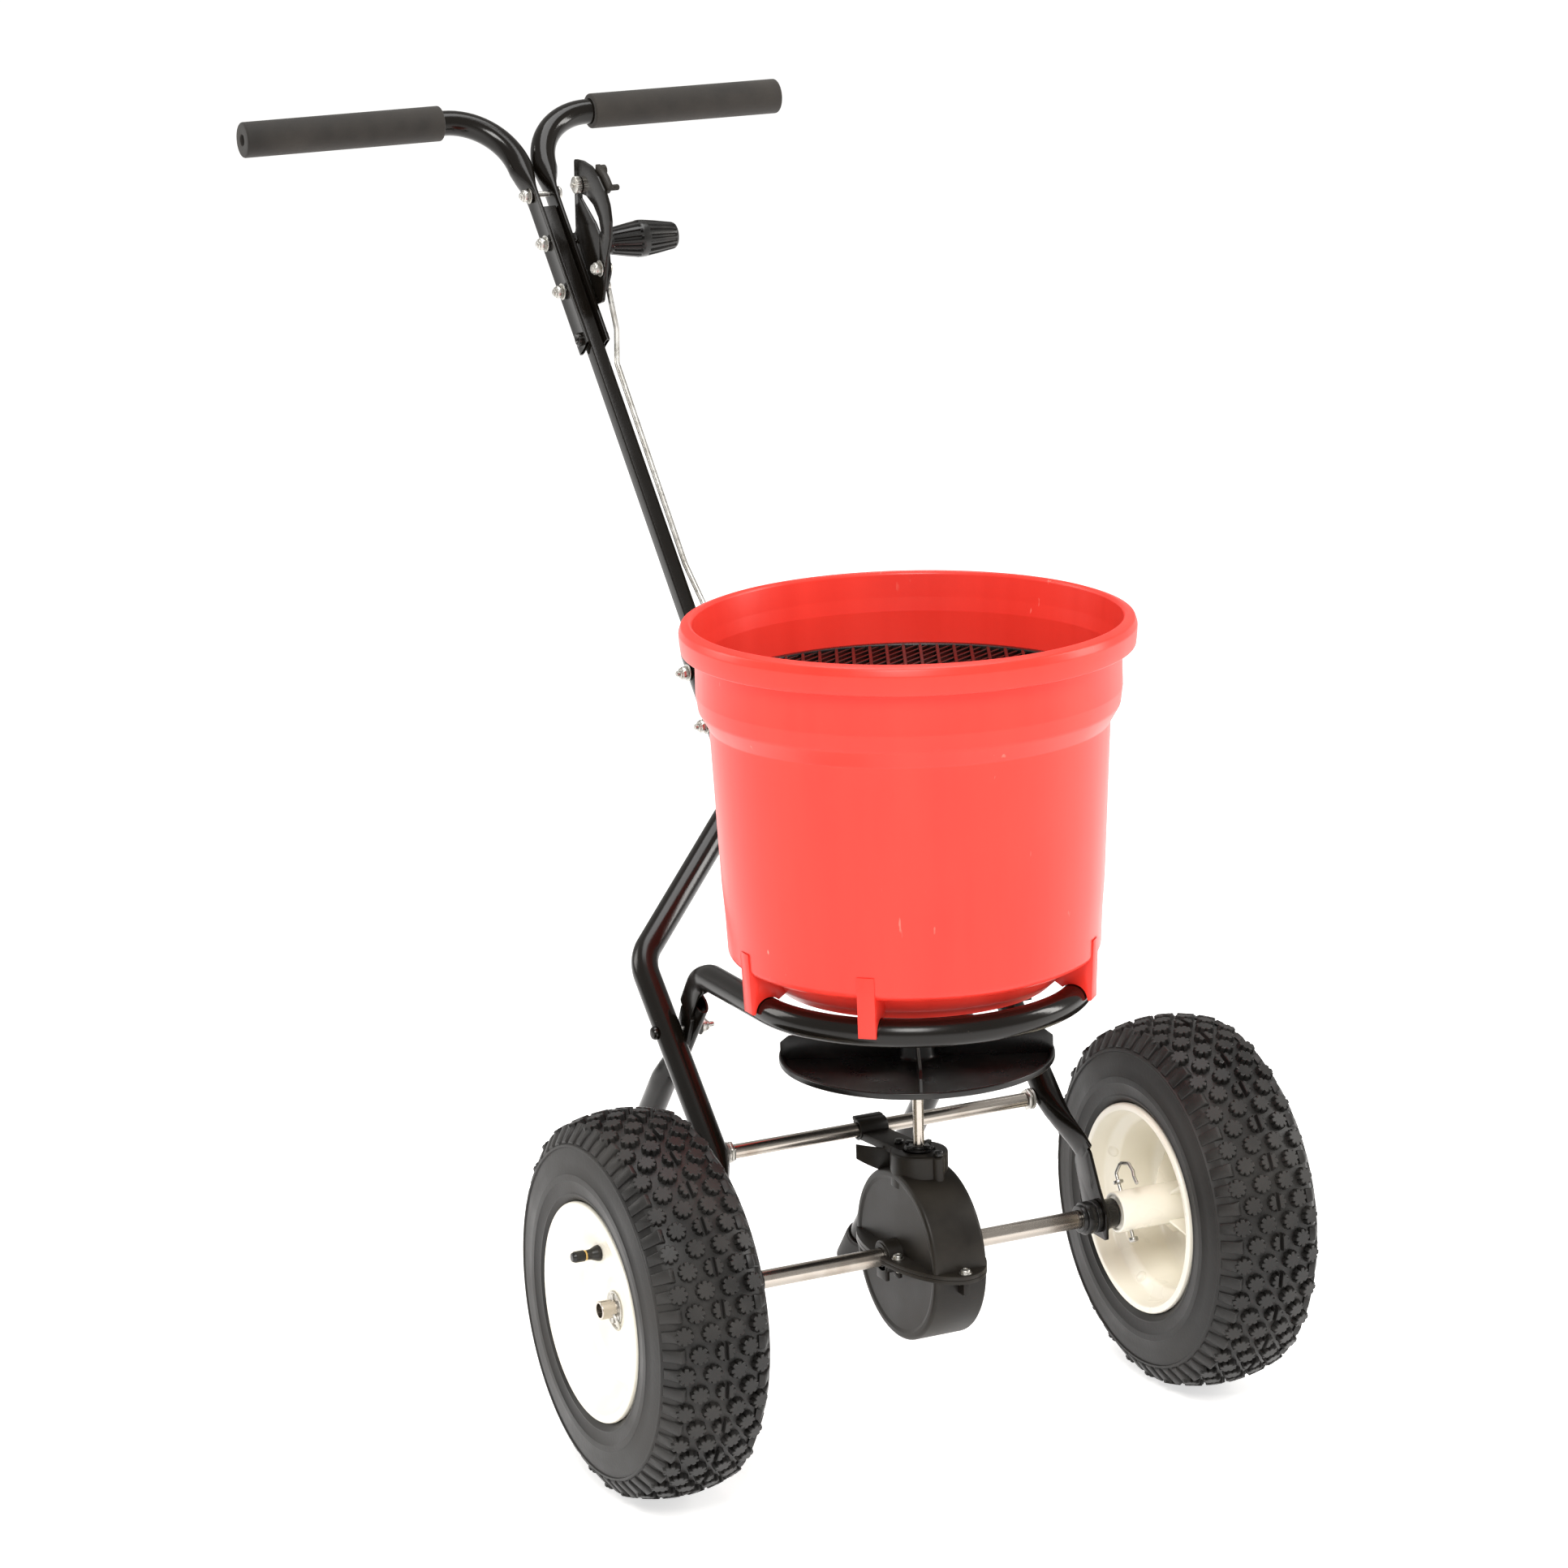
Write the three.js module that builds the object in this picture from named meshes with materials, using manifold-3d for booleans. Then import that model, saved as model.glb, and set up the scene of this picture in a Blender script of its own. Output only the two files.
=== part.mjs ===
// Walk-behind broadcast spreader: pneumatic wheels on a live axle, an enclosed face gear that
// spins a vertical impeller shaft, a round hopper on a tubular frame, and a rate lever with a
// control rod to the shutter under the hopper.
// Millimetres. +X along the axle, +Y towards the operator's grips, +Z up, ground at z = 0.
// The model is drawn with the axle above (0, 0) and then shifted along Y, so that the origin
// ends up at the bottom centre of the whole machine.

import * as THREE from 'three';
import { mergeVertices } from 'three/addons/utils/BufferGeometryUtils.js';
import Module from 'manifold-3d';

const wasm = await Module();
wasm.setup();

// ---------------------------------------------------------------- driving dimensions

const gap = 0.3;                     // between pieces that touch

const wheelRadius = 165;             // 13 inch pneumatic tyre
const wheelCentreX = 262.8;          // half of the track
const tyreHalfWidth = 52;
const wheelSides = 20;
const axleRadius = 7.95;
const axleBoreRadius = 6.2;
const axleHalfLength = 303.6;
const axleZ = wheelRadius;
const hubInnerReach = 71.4;          // wheel centre plane to the hub's inner end
const hubRadius = 18;
const dishFace = 24;                 // wheel centre plane to the outer dish face

const tubeRadius = 12;               // frame and handle tubes
const tubeBore = 10;
const tubeSides = 10;
const boreSides = 6;

const ringRadius = 141;              // hoop under the hopper
const ringZ = 403;
const hoopBackY = 104;               // where the hoop starts to turn down

const sideX = 162.5;                 // side tubes, axle plate to handle
const sidePlateX = 174.5;
const sideBendY = 207;
const sideBendZ = 398;

const legX = 146.4;                  // stand legs
const legTopY = 132;
const legTopZ = 376;
const legFootY = 425;

const standBoltY = 154;              // bolt through side tube, hoop end and leg
const standBoltZ = 347;

const crossRodY = 72;
const crossRodZ = 257;
const crossRodRadius = 6.35;
const crossRodHalf = 143;

// the handle line lies in the plane x = 0; station s runs along it from this point
const handleY = 445;
const handleZ = 649;
const handleRise = Math.atan2(0.758, 0.652);
const mainHalf = 7;                  // half width of the square main tube
const mainStart = -150;
const mainEnd = 440;
const frameBoltStations = [-121, -65.5];
const handleBoltStations = [295, 348.8, 403.2, 458];
const lowerHalfStart = 285;          // lower ends of the handle halves
const gripStation = 547;             // grip axis on the handle line
const handleBendRadius = 62;
const gripRadius = 17;
const gripInner = 78;
const gripOuter = 277;

const rimRadius = 192;               // hopper
const rimTopZ = 725;
const hopperFloorZ = 408;
const wall = 3;
const hopperSides = 28;
const screenZ = 658;

const impellerRadius = 118;
const impellerZ = 337;
const shaftRadius = 4.75;

const caseRadius = 75;
const caseHalf = 25;
const caseWall = 3.5;
const neckRadius = 25;
const neckTopZ = 256;

const gearTeeth = 30;                // face gear on the axle
const pinionTeeth = 6;               // pinion on the impeller shaft
const gearPitchRadius = 54;
const pinionPitchRadius = gearPitchRadius * pinionTeeth / gearTeeth;

const plateX = 12.8;                 // gauge plate, beside the right handle half
const plateThickness = 3;
const pivotY = 640;                  // rate lever pivot
const pivotZ = 937;
const leverX = plateX + plateThickness + 1.2;
const leverThickness = 2.6;
const leverGripLength = 72;
const rodRadius = 2.6;               // control rod

// ---------------------------------------------------------------- finishes

function finish(colour, roughness, metalness) {
  return new THREE.MeshStandardMaterial({ color: colour, roughness, metalness });
}

const blackPaint = finish(0x101010, 0.28, 0.3);
const redPlastic = finish(0xe8321f, 0.38, 0);
const blackPlastic = finish(0x2b2a29, 0.62, 0);
const glossPlastic = finish(0x121212, 0.3, 0);
const foam = finish(0x2a2927, 0.92, 0);
const rubber = finish(0x1d1c1c, 0.85, 0);
const creamPaint = finish(0xf0ead8, 0.4, 0.05);
const brightSteel = finish(0xb9b5ad, 0.25, 1);
const zinc = finish(0xc9c9c6, 0.32, 1);
const nylon = finish(0x1a1a1a, 0.5, 0);

// ---------------------------------------------------------------- solids

const spreader = new THREE.Group();

// Welds a geometry's vertices, drops empty triangles and turns the faces outwards.
function welded(geometry) {
  const bare = geometry.clone();
  bare.deleteAttribute('normal');
  bare.deleteAttribute('uv');
  const merged = mergeVertices(bare, 1e-4);
  const position = merged.getAttribute('position');
  const source = merged.index.array;
  const kept = [];
  let volume = 0;
  const [a, b, c] = [new THREE.Vector3(), new THREE.Vector3(), new THREE.Vector3()];
  for (let i = 0; i < source.length; i += 3) {
    const [p, q, r] = [source[i], source[i + 1], source[i + 2]];
    if (p === q || q === r || r === p) continue;
    kept.push(p, q, r);
    a.fromBufferAttribute(position, p);
    b.fromBufferAttribute(position, q);
    c.fromBufferAttribute(position, r);
    volume += a.dot(b.cross(c));
  }
  if (volume < 0) kept.reverse();
  merged.setIndex(kept);
  return merged;
}

function solid(geometry) {
  const mesh = welded(geometry);
  return new wasm.Manifold(new wasm.Mesh({
    numProp: 3,
    vertProperties: new Float32Array(mesh.getAttribute('position').array),
    triVerts: new Uint32Array(mesh.index.array),
  }));
}

function shell(manifold) {
  const mesh = manifold.getMesh();
  const geometry = new THREE.BufferGeometry();
  geometry.setAttribute('position', new THREE.BufferAttribute(new Float32Array(mesh.vertProperties), 3));
  geometry.setIndex(new THREE.BufferAttribute(new Uint32Array(mesh.triVerts), 1));
  return geometry;
}

function join(first, ...others) {
  return shell(others.reduce((sum, next) => sum.add(solid(next)), solid(first)));
}

function cut(first, ...others) {
  return shell(others.reduce((rest, next) => rest.subtract(solid(next)), solid(first)));
}

function add(name, geometry, material) {
  const mesh = new THREE.Mesh(welded(geometry), material);
  mesh.geometry.computeVertexNormals();
  mesh.name = name;
  spreader.add(mesh);
}

// ---------------------------------------------------------------- shape helpers

// A closed profile of [radius, height] pairs turned about +Z.
function revolve(profile, sides) {
  const points = [...profile, profile[0]].map(([r, h]) => new THREE.Vector2(r, h));
  return new THREE.LatheGeometry(points, sides).rotateX(Math.PI / 2);
}

// The same, turned about +X, with the heights along X.
function revolveX(profile, sides) {
  return revolve(profile, sides).rotateY(Math.PI / 2);
}

function cylinder(radius, from, to, sides = 16) {
  return new THREE.CylinderGeometry(radius, radius, to - from, sides)
    .rotateX(Math.PI / 2).translate(0, 0, (from + to) / 2);
}

function cylinderX(radius, from, to, y, z, sides = 12) {
  return new THREE.CylinderGeometry(radius, radius, to - from, sides)
    .rotateZ(Math.PI / 2).translate((from + to) / 2, y, z);
}

function block(x0, x1, y0, y1, z0, z1) {
  return new THREE.BoxGeometry(x1 - x0, y1 - y0, z1 - z0)
    .translate((x0 + x1) / 2, (y0 + y1) / 2, (z0 + z1) / 2);
}

function outline(points) {
  return new THREE.Shape(points.map(([x, y]) => new THREE.Vector2(x, y)));
}

// An outline in the YZ plane, given as [y, z] pairs, made a plate from x = from to x = to.
function plateYZ(points, from, to, holes = []) {
  const shape = outline(points);
  for (const [y, z, radius] of holes) {
    shape.holes.push(new THREE.Path().absarc(y, z, radius, 0, 2 * Math.PI, true));
  }
  return new THREE.ExtrudeGeometry(shape, { depth: to - from, bevelEnabled: false, curveSegments: 5 })
    .rotateX(Math.PI / 2).rotateZ(Math.PI / 2).translate(from, 0, 0);
}

function polygon(radius, sides) {
  const points = [];
  for (let i = 0; i < sides; i += 1) {
    const angle = 2 * Math.PI * i / sides;
    points.push([radius * Math.cos(angle), radius * Math.sin(angle)]);
  }
  return points;
}

function ringSection(outer, bore) {
  const shape = outline(polygon(outer, tubeSides));
  shape.holes.push(new THREE.Path(polygon(bore, boreSides).map(([x, y]) => new THREE.Vector2(x, y))));
  return shape;
}

// A path that keeps exactly the stations it is given, so that straights need no steps.
class StationPath extends THREE.Curve {
  constructor(stations) {
    super();
    this.stations = stations;
  }

  getPoint(t) {
    const place = t * (this.stations.length - 1);
    const index = Math.min(Math.floor(place + 1e-6), this.stations.length - 2);
    return this.stations[index].clone().lerp(this.stations[index + 1], place - index);
  }

  getPointAt(u) {
    return this.getPoint(u);
  }

  getSpacedPoints() {
    return this.stations.map((station) => station.clone());
  }

  getTangentAt(u) {
    const last = this.stations.length - 1;
    const index = Math.round(u * last);
    const ahead = this.stations[Math.min(index + 1, last)].clone();
    const here = this.stations[index];
    const behind = this.stations[Math.max(index - 1, 0)];
    const forward = ahead.sub(here).normalize();
    const backward = here.clone().sub(behind).normalize();
    return forward.add(backward).normalize();
  }
}

// Rounds the corners of a polyline: each corner becomes an arc of its own radius.
function bent(corners, radii, arcSteps = 6) {
  const stations = [corners[0].clone()];
  for (let i = 1; i < corners.length - 1; i += 1) {
    const incoming = corners[i].clone().sub(corners[i - 1]).normalize();
    const outgoing = corners[i + 1].clone().sub(corners[i]).normalize();
    const turn = incoming.angleTo(outgoing);
    const setback = radii[i - 1] * Math.tan(turn / 2);
    const start = corners[i].clone().addScaledVector(incoming, -setback);
    const inward = outgoing.clone().addScaledVector(incoming, -incoming.dot(outgoing)).normalize();
    for (let k = 0; k <= arcSteps; k += 1) {
      const angle = turn * k / arcSteps;
      stations.push(start.clone()
        .addScaledVector(incoming, radii[i - 1] * Math.sin(angle))
        .addScaledVector(inward, radii[i - 1] * (1 - Math.cos(angle))));
    }
  }
  stations.push(corners[corners.length - 1].clone());
  return stations;
}

function tube(stations, section = ringSection(tubeRadius, tubeBore)) {
  return new THREE.ExtrudeGeometry(section, {
    steps: stations.length - 1,
    extrudePath: new StationPath(stations),
    bevelEnabled: false,
  });
}

function rod(stations, radius, sides = 8) {
  return tube(stations, outline(polygon(radius, sides)));
}

// Presses part of a geometry flat: x is moved towards its pressed value by a weight from 0 to 1.
function press(geometry, weightAt, pressedX) {
  const position = geometry.getAttribute('position');
  for (let i = 0; i < position.count; i += 1) {
    const [x, y, z] = [position.getX(i), position.getY(i), position.getZ(i)];
    const weight = THREE.MathUtils.smoothstep(weightAt(y, z), 0, 1);
    position.setX(i, x + (pressedX(x) - x) * weight);
  }
  return geometry;
}

function mirrored(geometry) {
  return geometry.clone().scale(-1, 1, 1);
}

// A point on the handle line: station s along it, offset n square to it (up and forward), x across.
function onHandle(s, n = 0, x = 0) {
  return new THREE.Vector3(
    x,
    handleY + s * Math.cos(handleRise) - n * Math.sin(handleRise),
    handleZ + s * Math.sin(handleRise) + n * Math.cos(handleRise),
  );
}

// Moves a geometry drawn with +Y along the handle and +Z square to it onto the handle line.
function placeOnHandle(geometry) {
  return geometry.rotateX(handleRise).translate(0, handleY, handleZ);
}

function stationOf(y, z) {
  return (y - handleY) * Math.cos(handleRise) + (z - handleZ) * Math.sin(handleRise);
}

const sidesOfMachine = [['left', -1], ['right', 1]];

// ---------------------------------------------------------------- hopper support hoop

function hoopStations() {
  const stations = [
    new THREE.Vector3(-ringRadius, 147, 367),
  ];
  const turnRadius = 34;
  const turn = THREE.MathUtils.degToRad(52);
  for (let i = 4; i >= 0; i -= 1) {
    const angle = turn * i / 4;
    stations.push(new THREE.Vector3(
      -ringRadius,
      hoopBackY + turnRadius * Math.sin(angle),
      ringZ - turnRadius * (1 - Math.cos(angle)),
    ));
  }
  const arcSteps = 12;
  for (let i = 0; i <= arcSteps; i += 1) {
    const angle = Math.PI * (1 + i / arcSteps);
    stations.push(new THREE.Vector3(ringRadius * Math.cos(angle), ringRadius * Math.sin(angle), ringZ));
  }
  for (let i = 5; i >= 0; i -= 1) {
    stations.push(stations[i].clone().setX(ringRadius));
  }
  return stations;
}

// Past the turn, each end is pressed flat against the side tube so that the leg nests inside it.
const hoopPressedCentre = sideX - tubeRadius - gap - 2;

function hoop() {
  return press(tube(hoopStations()), (y) => (y - 106) / 20, (x) => (
    Math.sign(x) * (hoopPressedCentre + (Math.abs(x) - ringRadius) * 0.16)));
}

// Flattened ends, outboard of the legs and inboard of the side tubes.
function hoopTab(sign) {
  const from = sideX - tubeRadius - gap - 4;
  const outer = plateYZ(
    [[134, 361], [148, 332], [158, 328], [166, 333], [166, 342], [153, 371]],
    from, from + 4, [[standBoltY, standBoltZ, 3.6]],
  );
  return sign > 0 ? outer : mirrored(outer);
}

add('stand_hoop', join(hoop(), hoopTab(-1), hoopTab(1)), blackPaint);

// ---------------------------------------------------------------- stand legs and feet

const legFoot = new THREE.Vector3(legX, legFootY, 10);
const legTop = new THREE.Vector3(legX, legTopY, legTopZ);
const legLine = legTop.clone().sub(legFoot).normalize();
const legPressedFace = sideX - tubeRadius - 4 - 2 * gap;   // outer face of the pressed length

function leg() {
  const length = legTop.distanceTo(legFoot);
  const stations = [0, 0.7, 0.76, 0.82, 0.88, 1].map((t) => (
    legFoot.clone().addScaledVector(legLine, t * length)));
  const body = press(tube(stations), (y, z) => (z - 283) / 37, (x) => (
    legPressedFace - 6 + (x - legX) * 0.5));
  return cut(body, cylinderX(3.6, legX - 20, legX + 20, standBoltY, standBoltZ, 6));
}

const legTilt = Math.atan2(-legLine.y, legLine.z);
for (const [side, sign] of sidesOfMachine) {
  add(`stand_leg_${side}`, sign > 0 ? leg() : mirrored(leg()), blackPaint);
  const cap = cylinder(14.6, -14, 26, 14).rotateX(legTilt).translate(0, legFootY, 10);
  const pocket = cylinder(tubeRadius + 2 * gap, -gap, 40, 14).rotateX(legTilt).translate(0, legFootY, 10);
  const ground = block(-40, 40, legFootY - 60, legFootY + 60, -40, 0);
  add(`foot_cap_${side}`, cut(cap, pocket, ground).translate(sign * legX, 0, 0), rubber);
}

// ---------------------------------------------------------------- side tubes

// From the flattened plate on the axle bush, up past the hoop, then inwards to the main tube.
function sideTube() {
  const upperX = 12.8;
  const corners = [
    new THREE.Vector3(sideX + 6, 21, 215.4),
    new THREE.Vector3(sideX, 66, 259.6),
    new THREE.Vector3(sideX, sideBendY, sideBendZ),
    onHandle(-196, 0, upperX),
    onHandle(-44, 0, upperX),
  ];
  const stations = bent(corners, [70, 42, 46], 3);
  stations.splice(-1, 0, onHandle(-163, 0, upperX));
  const upper = press(
    tube(stations),
    (y, z) => (y > 290 ? (stationOf(y, z) + 205) / 30 : 0),
    (x) => mainHalf + gap + 6 + (x - upperX) * 0.5,
  );
  const lower = press(upper, (y, z) => (z < 262 ? (245 - z) / 25 : 0), (x) => (
    sidePlateX + (x - sideX - 5) * 0.12));
  const plate = plateYZ(
    [[-17, 147], [15, 147], [20, 158], [38, 207], [28, 226], [14, 221], [-4, 191], [-17, 172]],
    sidePlateX - 1.4, sidePlateX + 1.4,
  );
  return cut(
    join(lower, plate),
    cylinderX(axleRadius + 0.4, sidePlateX - 5, sidePlateX + 5, 0, axleZ, 16),
    cylinderX(3.6, sideX - 20, sideX + 20, standBoltY, standBoltZ, 6),
    ...frameBoltStations.map((s) => {
      const place = onHandle(s);
      return cylinderX(3.6, 0, 30, place.y, place.z, 6);
    }),
  );
}

for (const [side, sign] of sidesOfMachine) {
  add(`side_tube_${side}`, sign > 0 ? sideTube() : mirrored(sideTube()), blackPaint);
}

// ---------------------------------------------------------------- main tube and handle halves

function boltHoles(stations, radius = 3.6) {
  return stations.map((s) => {
    const place = onHandle(s);
    return cylinderX(radius, -40, 40, place.y, place.z, 6);
  });
}

function mainTube() {
  const h = mainHalf;
  const square = outline([[-h, -h], [h, -h], [h, h], [-h, h]]);
  const inner = mainHalf - 1.6;
  square.holes.push(new THREE.Path([[-inner, -inner], [-inner, inner], [inner, inner], [inner, -inner]]
    .map(([x, y]) => new THREE.Vector2(x, y))));
  const bar = new THREE.ExtrudeGeometry(square, { depth: mainEnd - mainStart, bevelEnabled: false })
    .rotateX(-Math.PI / 2).translate(0, mainStart, 0);
  return cut(placeOnHandle(bar), ...boltHoles([...frameBoltStations, ...handleBoltStations.slice(0, 3)]));
}

add('main_tube', mainTube(), blackPaint);

// Each half is pressed to a shallow channel along the main tube and round from the bend outwards.
function handleHalf() {
  const roundX = tubeRadius + gap;
  const corners = [
    onHandle(lowerHalfStart, 0, roundX),
    onHandle(gripStation, 0, roundX),
    onHandle(gripStation, 0, gripOuter - 6),
  ];
  const arc = bent(corners, [handleBendRadius], 6);
  const start = arc[0];
  arc.splice(1, 0, onHandle(444, 0, roundX), onHandle(458, 0, roundX));
  start.copy(onHandle(lowerHalfStart, 0, roundX));
  const half = press(tube(arc), (y, z) => (474 - stationOf(y, z)) / 30, (x) => (
    mainHalf + gap + 2.6 + (x - roundX) * 0.21));
  return cut(half, ...boltHoles(handleBoltStations.slice(0, 3)));
}

function grip() {
  const sleeve = revolveX([
    [tubeRadius + gap, gripInner], [gripRadius - 1, gripInner], [gripRadius, gripInner + 1],
    [gripRadius, gripOuter - 1], [gripRadius - 1, gripOuter], [tubeRadius + gap, gripOuter],
  ], 16);
  const axis = onHandle(gripStation);
  return sleeve.translate(0, axis.y, axis.z);
}

for (const [side, sign] of sidesOfMachine) {
  add(`handle_tube_${side}`, sign > 0 ? handleHalf() : mirrored(handleHalf()), blackPaint);
  add(`grip_${side}`, sign > 0 ? grip() : mirrored(grip()), foam);
}

// ---------------------------------------------------------------- fasteners along X

// Carriage bolt and cap nut in one: shank between two heads, through a stack along X.
function crossBolt(y, z, headX, nutX, tail = 0) {
  const shank = cylinderX(2.8, nutX, headX, y, z, 6);
  const head = cylinderX(6.6, headX, headX + 4.4, y, z, 6);
  const nut = cylinderX(6.4, nutX - 5.6, nutX, y, z, 6);
  const pieces = [head, nut];
  if (tail > 0) pieces.push(cylinderX(2.9, nutX - 5.6 - tail, nutX - 5.6, y, z, 6));
  return join(shank, ...pieces);
}

const handleStackHalf = mainHalf + gap + 5.2 + gap;
handleBoltStations.slice(0, 3).forEach((s, i) => {
  const place = onHandle(s);
  const headX = i === 0 ? handleStackHalf : plateX + plateThickness + gap;
  add(`handle_bolt_${i + 1}`, crossBolt(place.y, place.z, headX, -handleStackHalf), zinc);
});

const frameStackHalf = mainHalf + gap + 12 + gap;
frameBoltStations.forEach((s, i) => {
  const place = onHandle(s);
  add(`frame_bolt_${i + 1}`, crossBolt(place.y, place.z, frameStackHalf, -frameStackHalf), zinc);
});

for (const [side, sign] of sidesOfMachine) {
  const bolt = crossBolt(standBoltY, standBoltZ, sideX + tubeRadius + gap, legPressedFace - 12 - gap, 6);
  add(`stand_bolt_${side}`, sign > 0 ? bolt : mirrored(bolt), zinc);
}

// ---------------------------------------------------------------- cross rod

const crossRod = cylinderX(crossRodRadius, -crossRodHalf, crossRodHalf, crossRodY, crossRodZ, 12);
add('cross_rod', crossRod, brightSteel);
for (const [side, sign] of sidesOfMachine) {
  const nut = cylinderX(9.2, crossRodHalf + gap, sideX - tubeRadius - gap, crossRodY, crossRodZ, 6);
  add(`cross_rod_nut_${side}`, sign > 0 ? nut : mirrored(nut), zinc);
}

// ---------------------------------------------------------------- hopper

// Outer wall from the centre hole outwards and up, then the inner wall back down.
function hopperShell() {
  const profile = [
    [11, hopperFloorZ], [116, hopperFloorZ], [126, 417], [133, 430], [150, 434], [157, 440],
    [159.5, 450], [168.7, 632], [177.2, 647], [179, 693], [191, 699],
    [rimRadius, 716], [189.5, rimTopZ], [181, rimTopZ], [179.5, 703], [176, 694],
    [174.2, 650], [165.7, 635], [156.5, 452], [148, 437.5], [131, 433.5], [123.5, 419.5],
    [114.5, hopperFloorZ + wall],
    [11, hopperFloorZ + wall],
  ];
  return revolve(profile, hopperSides);
}

// A foot hooks over the hoop: an arch on the tube and a tongue down its outer side.
function hopperFoot(angle) {
  const points = [[157.4, 402], [154.4, 402]];
  for (let i = 0; i <= 6; i += 1) {
    const turn = THREE.MathUtils.degToRad(6 + i * 22);
    const reach = tubeRadius + gap + 0.3;
    points.push([ringRadius + reach * Math.cos(turn), ringZ + reach * Math.sin(turn)]);
  }
  points.push([125, 417.5], [132.5, 431.5], [151, 436.5], [160, 452]);
  const width = 15;
  return new THREE.ExtrudeGeometry(outline(points), { depth: width, bevelEnabled: false })
    .translate(0, 0, -width / 2).rotateX(Math.PI / 2).rotateZ(angle);
}

function hopperPort() {
  const shape = new THREE.Shape()
    .absarc(0, 0, 62, -Math.PI * 0.72, -Math.PI * 0.28, false)
    .absarc(0, 0, 30, -Math.PI * 0.28, -Math.PI * 0.72, true);
  return new THREE.ExtrudeGeometry(shape, { depth: 20, bevelEnabled: false, curveSegments: 5 })
    .translate(0, 0, hopperFloorZ - 8);
}

const footAngles = [0, -45, -132, -180].map(THREE.MathUtils.degToRad);
const screenLugs = [30, 150, 270].map((degrees) => (
  block(170, 175.5, -6, 6, screenZ - 10, screenZ - gap).rotateZ(THREE.MathUtils.degToRad(degrees))));
const hopperBody = join(hopperShell(), ...footAngles.map(hopperFoot), ...screenLugs);
add('hopper', cut(hopperBody, hopperPort()), redPlastic);

// Lift-out screen, drawn with wide openings: a flat rim and two families of bars.
function hopperScreen() {
  const radius = 173;
  const rim = revolve([
    [radius - 7, screenZ], [radius, screenZ], [radius, screenZ + 4], [radius - 7, screenZ + 4],
  ], 20);
  const bars = [];
  for (const across of [-80, 0, 80]) {
    const reach = Math.sqrt((radius - 3) ** 2 - across ** 2);
    bars.push(block(across - 2.5, across + 2.5, -reach, reach, screenZ + 0.4, screenZ + 3));
    bars.push(block(-reach, reach, across - 2.5, across + 2.5, screenZ + 0.8, screenZ + 3.4));
  }
  return join(rim, ...bars).rotateZ(THREE.MathUtils.degToRad(-25.6));
}

add('hopper_screen', hopperScreen(), glossPlastic);

// ---------------------------------------------------------------- shutter

// Two rails under the floor carry the shutter plate, which slides along Y.
const railTopZ = hopperFloorZ - gap;
const shutterTopZ = railTopZ - 0.6;
const shutterThickness = 2.4;

function shutterGuide() {
  const depth = 9;
  const bottom = railTopZ - depth;
  const outer = outline([[-70, -78], [70, -78], [70, 74], [-70, 74]]);
  const opening = [[-54, -66], [-54, 62], [54, 62], [54, -66]];
  outer.holes.push(new THREE.Path(opening.map(([x, y]) => new THREE.Vector2(x, y))));
  const tray = new THREE.ExtrudeGeometry(outer, { depth, bevelEnabled: false }).translate(0, 0, bottom);
  const channel = block(-62, 62, -71, 80, shutterTopZ - shutterThickness - 0.5, railTopZ + 1);
  return cut(tray, channel);
}

add('shutter_guide', shutterGuide(), blackPlastic);

function shutter() {
  const shape = outline([[-60, -64], [60, -64], [60, 70], [22, 70], [22, 168], [8, 168], [8, 70], [-60, 70]]);
  const shaftSlot = [[-9, 8], [9, 8], [9, -24], [-9, -24]];
  shape.holes.push(new THREE.Path(shaftSlot.map(([x, y]) => new THREE.Vector2(x, y))));
  const plate = new THREE.ExtrudeGeometry(shape, { depth: shutterThickness, bevelEnabled: false })
    .translate(0, 0, shutterTopZ - shutterThickness);
  const ear = block(19, 22, 148, 168, shutterTopZ - 1, shutterTopZ + 12);
  return join(plate, ear);
}

add('shutter', shutter(), zinc);

// ---------------------------------------------------------------- gear case

function drumHalf(upper) {
  const profile = [
    [0.01, caseHalf - caseWall], [caseRadius - caseWall, caseHalf - caseWall],
    [caseRadius - caseWall, -caseHalf + caseWall], [0.01, -caseHalf + caseWall],
  ];
  const outer = cylinderX(caseRadius, -caseHalf, caseHalf, 0, axleZ, 28);
  const inner = revolveX(profile, 16).translate(0, 0, axleZ);
  const collars = cylinderX(14.5, -39, 39, 0, axleZ, 12);
  const flangeDepth = 4;
  const flange = flangePlate(upper ? axleZ + gap / 2 : axleZ - flangeDepth, flangeDepth);
  const bore = cylinderX(axleRadius + 0.6, -60, 60, 0, axleZ, 12);
  const [keepLow, keepHigh] = upper ? [axleZ + gap / 2, 400] : [-40, axleZ - gap / 2];
  const keep = block(-100, 100, -120, 120, keepLow, keepHigh);
  return { outer, inner, collars, flange, bore, keep };
}

// Split-line flange: a long oval with a lobe at each corner for the screws.
function flangePlate(z, depth) {
  const shape = new THREE.Shape().absellipse(0, 0, 43, 90, 0, 2 * Math.PI, false, 0);
  return new THREE.ExtrudeGeometry(shape, { depth, bevelEnabled: false, curveSegments: 8 })
    .translate(0, 0, z);
}

const caseScrews = [[-32.5, -20], [32.5, 20], [0, -82], [0, 82]];

function screwHoles() {
  return caseScrews.map(([x, y]) => cylinder(2.4, axleZ - 20, axleZ + 20, 6).translate(x, y, 0));
}

function clipArm() {
  const armShape = outline([[-14, 8], [10, 8], [2, crossRodY - 2], [-22, crossRodY - 2]]);
  const armPlate = new THREE.ExtrudeGeometry(armShape, { depth: neckTopZ - 249, bevelEnabled: false })
    .translate(0, 0, 249);
  const clip = cylinderX(crossRodRadius + 4, -23, 3, crossRodY, crossRodZ, 12);
  return { armPlate, clip };
}

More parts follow.
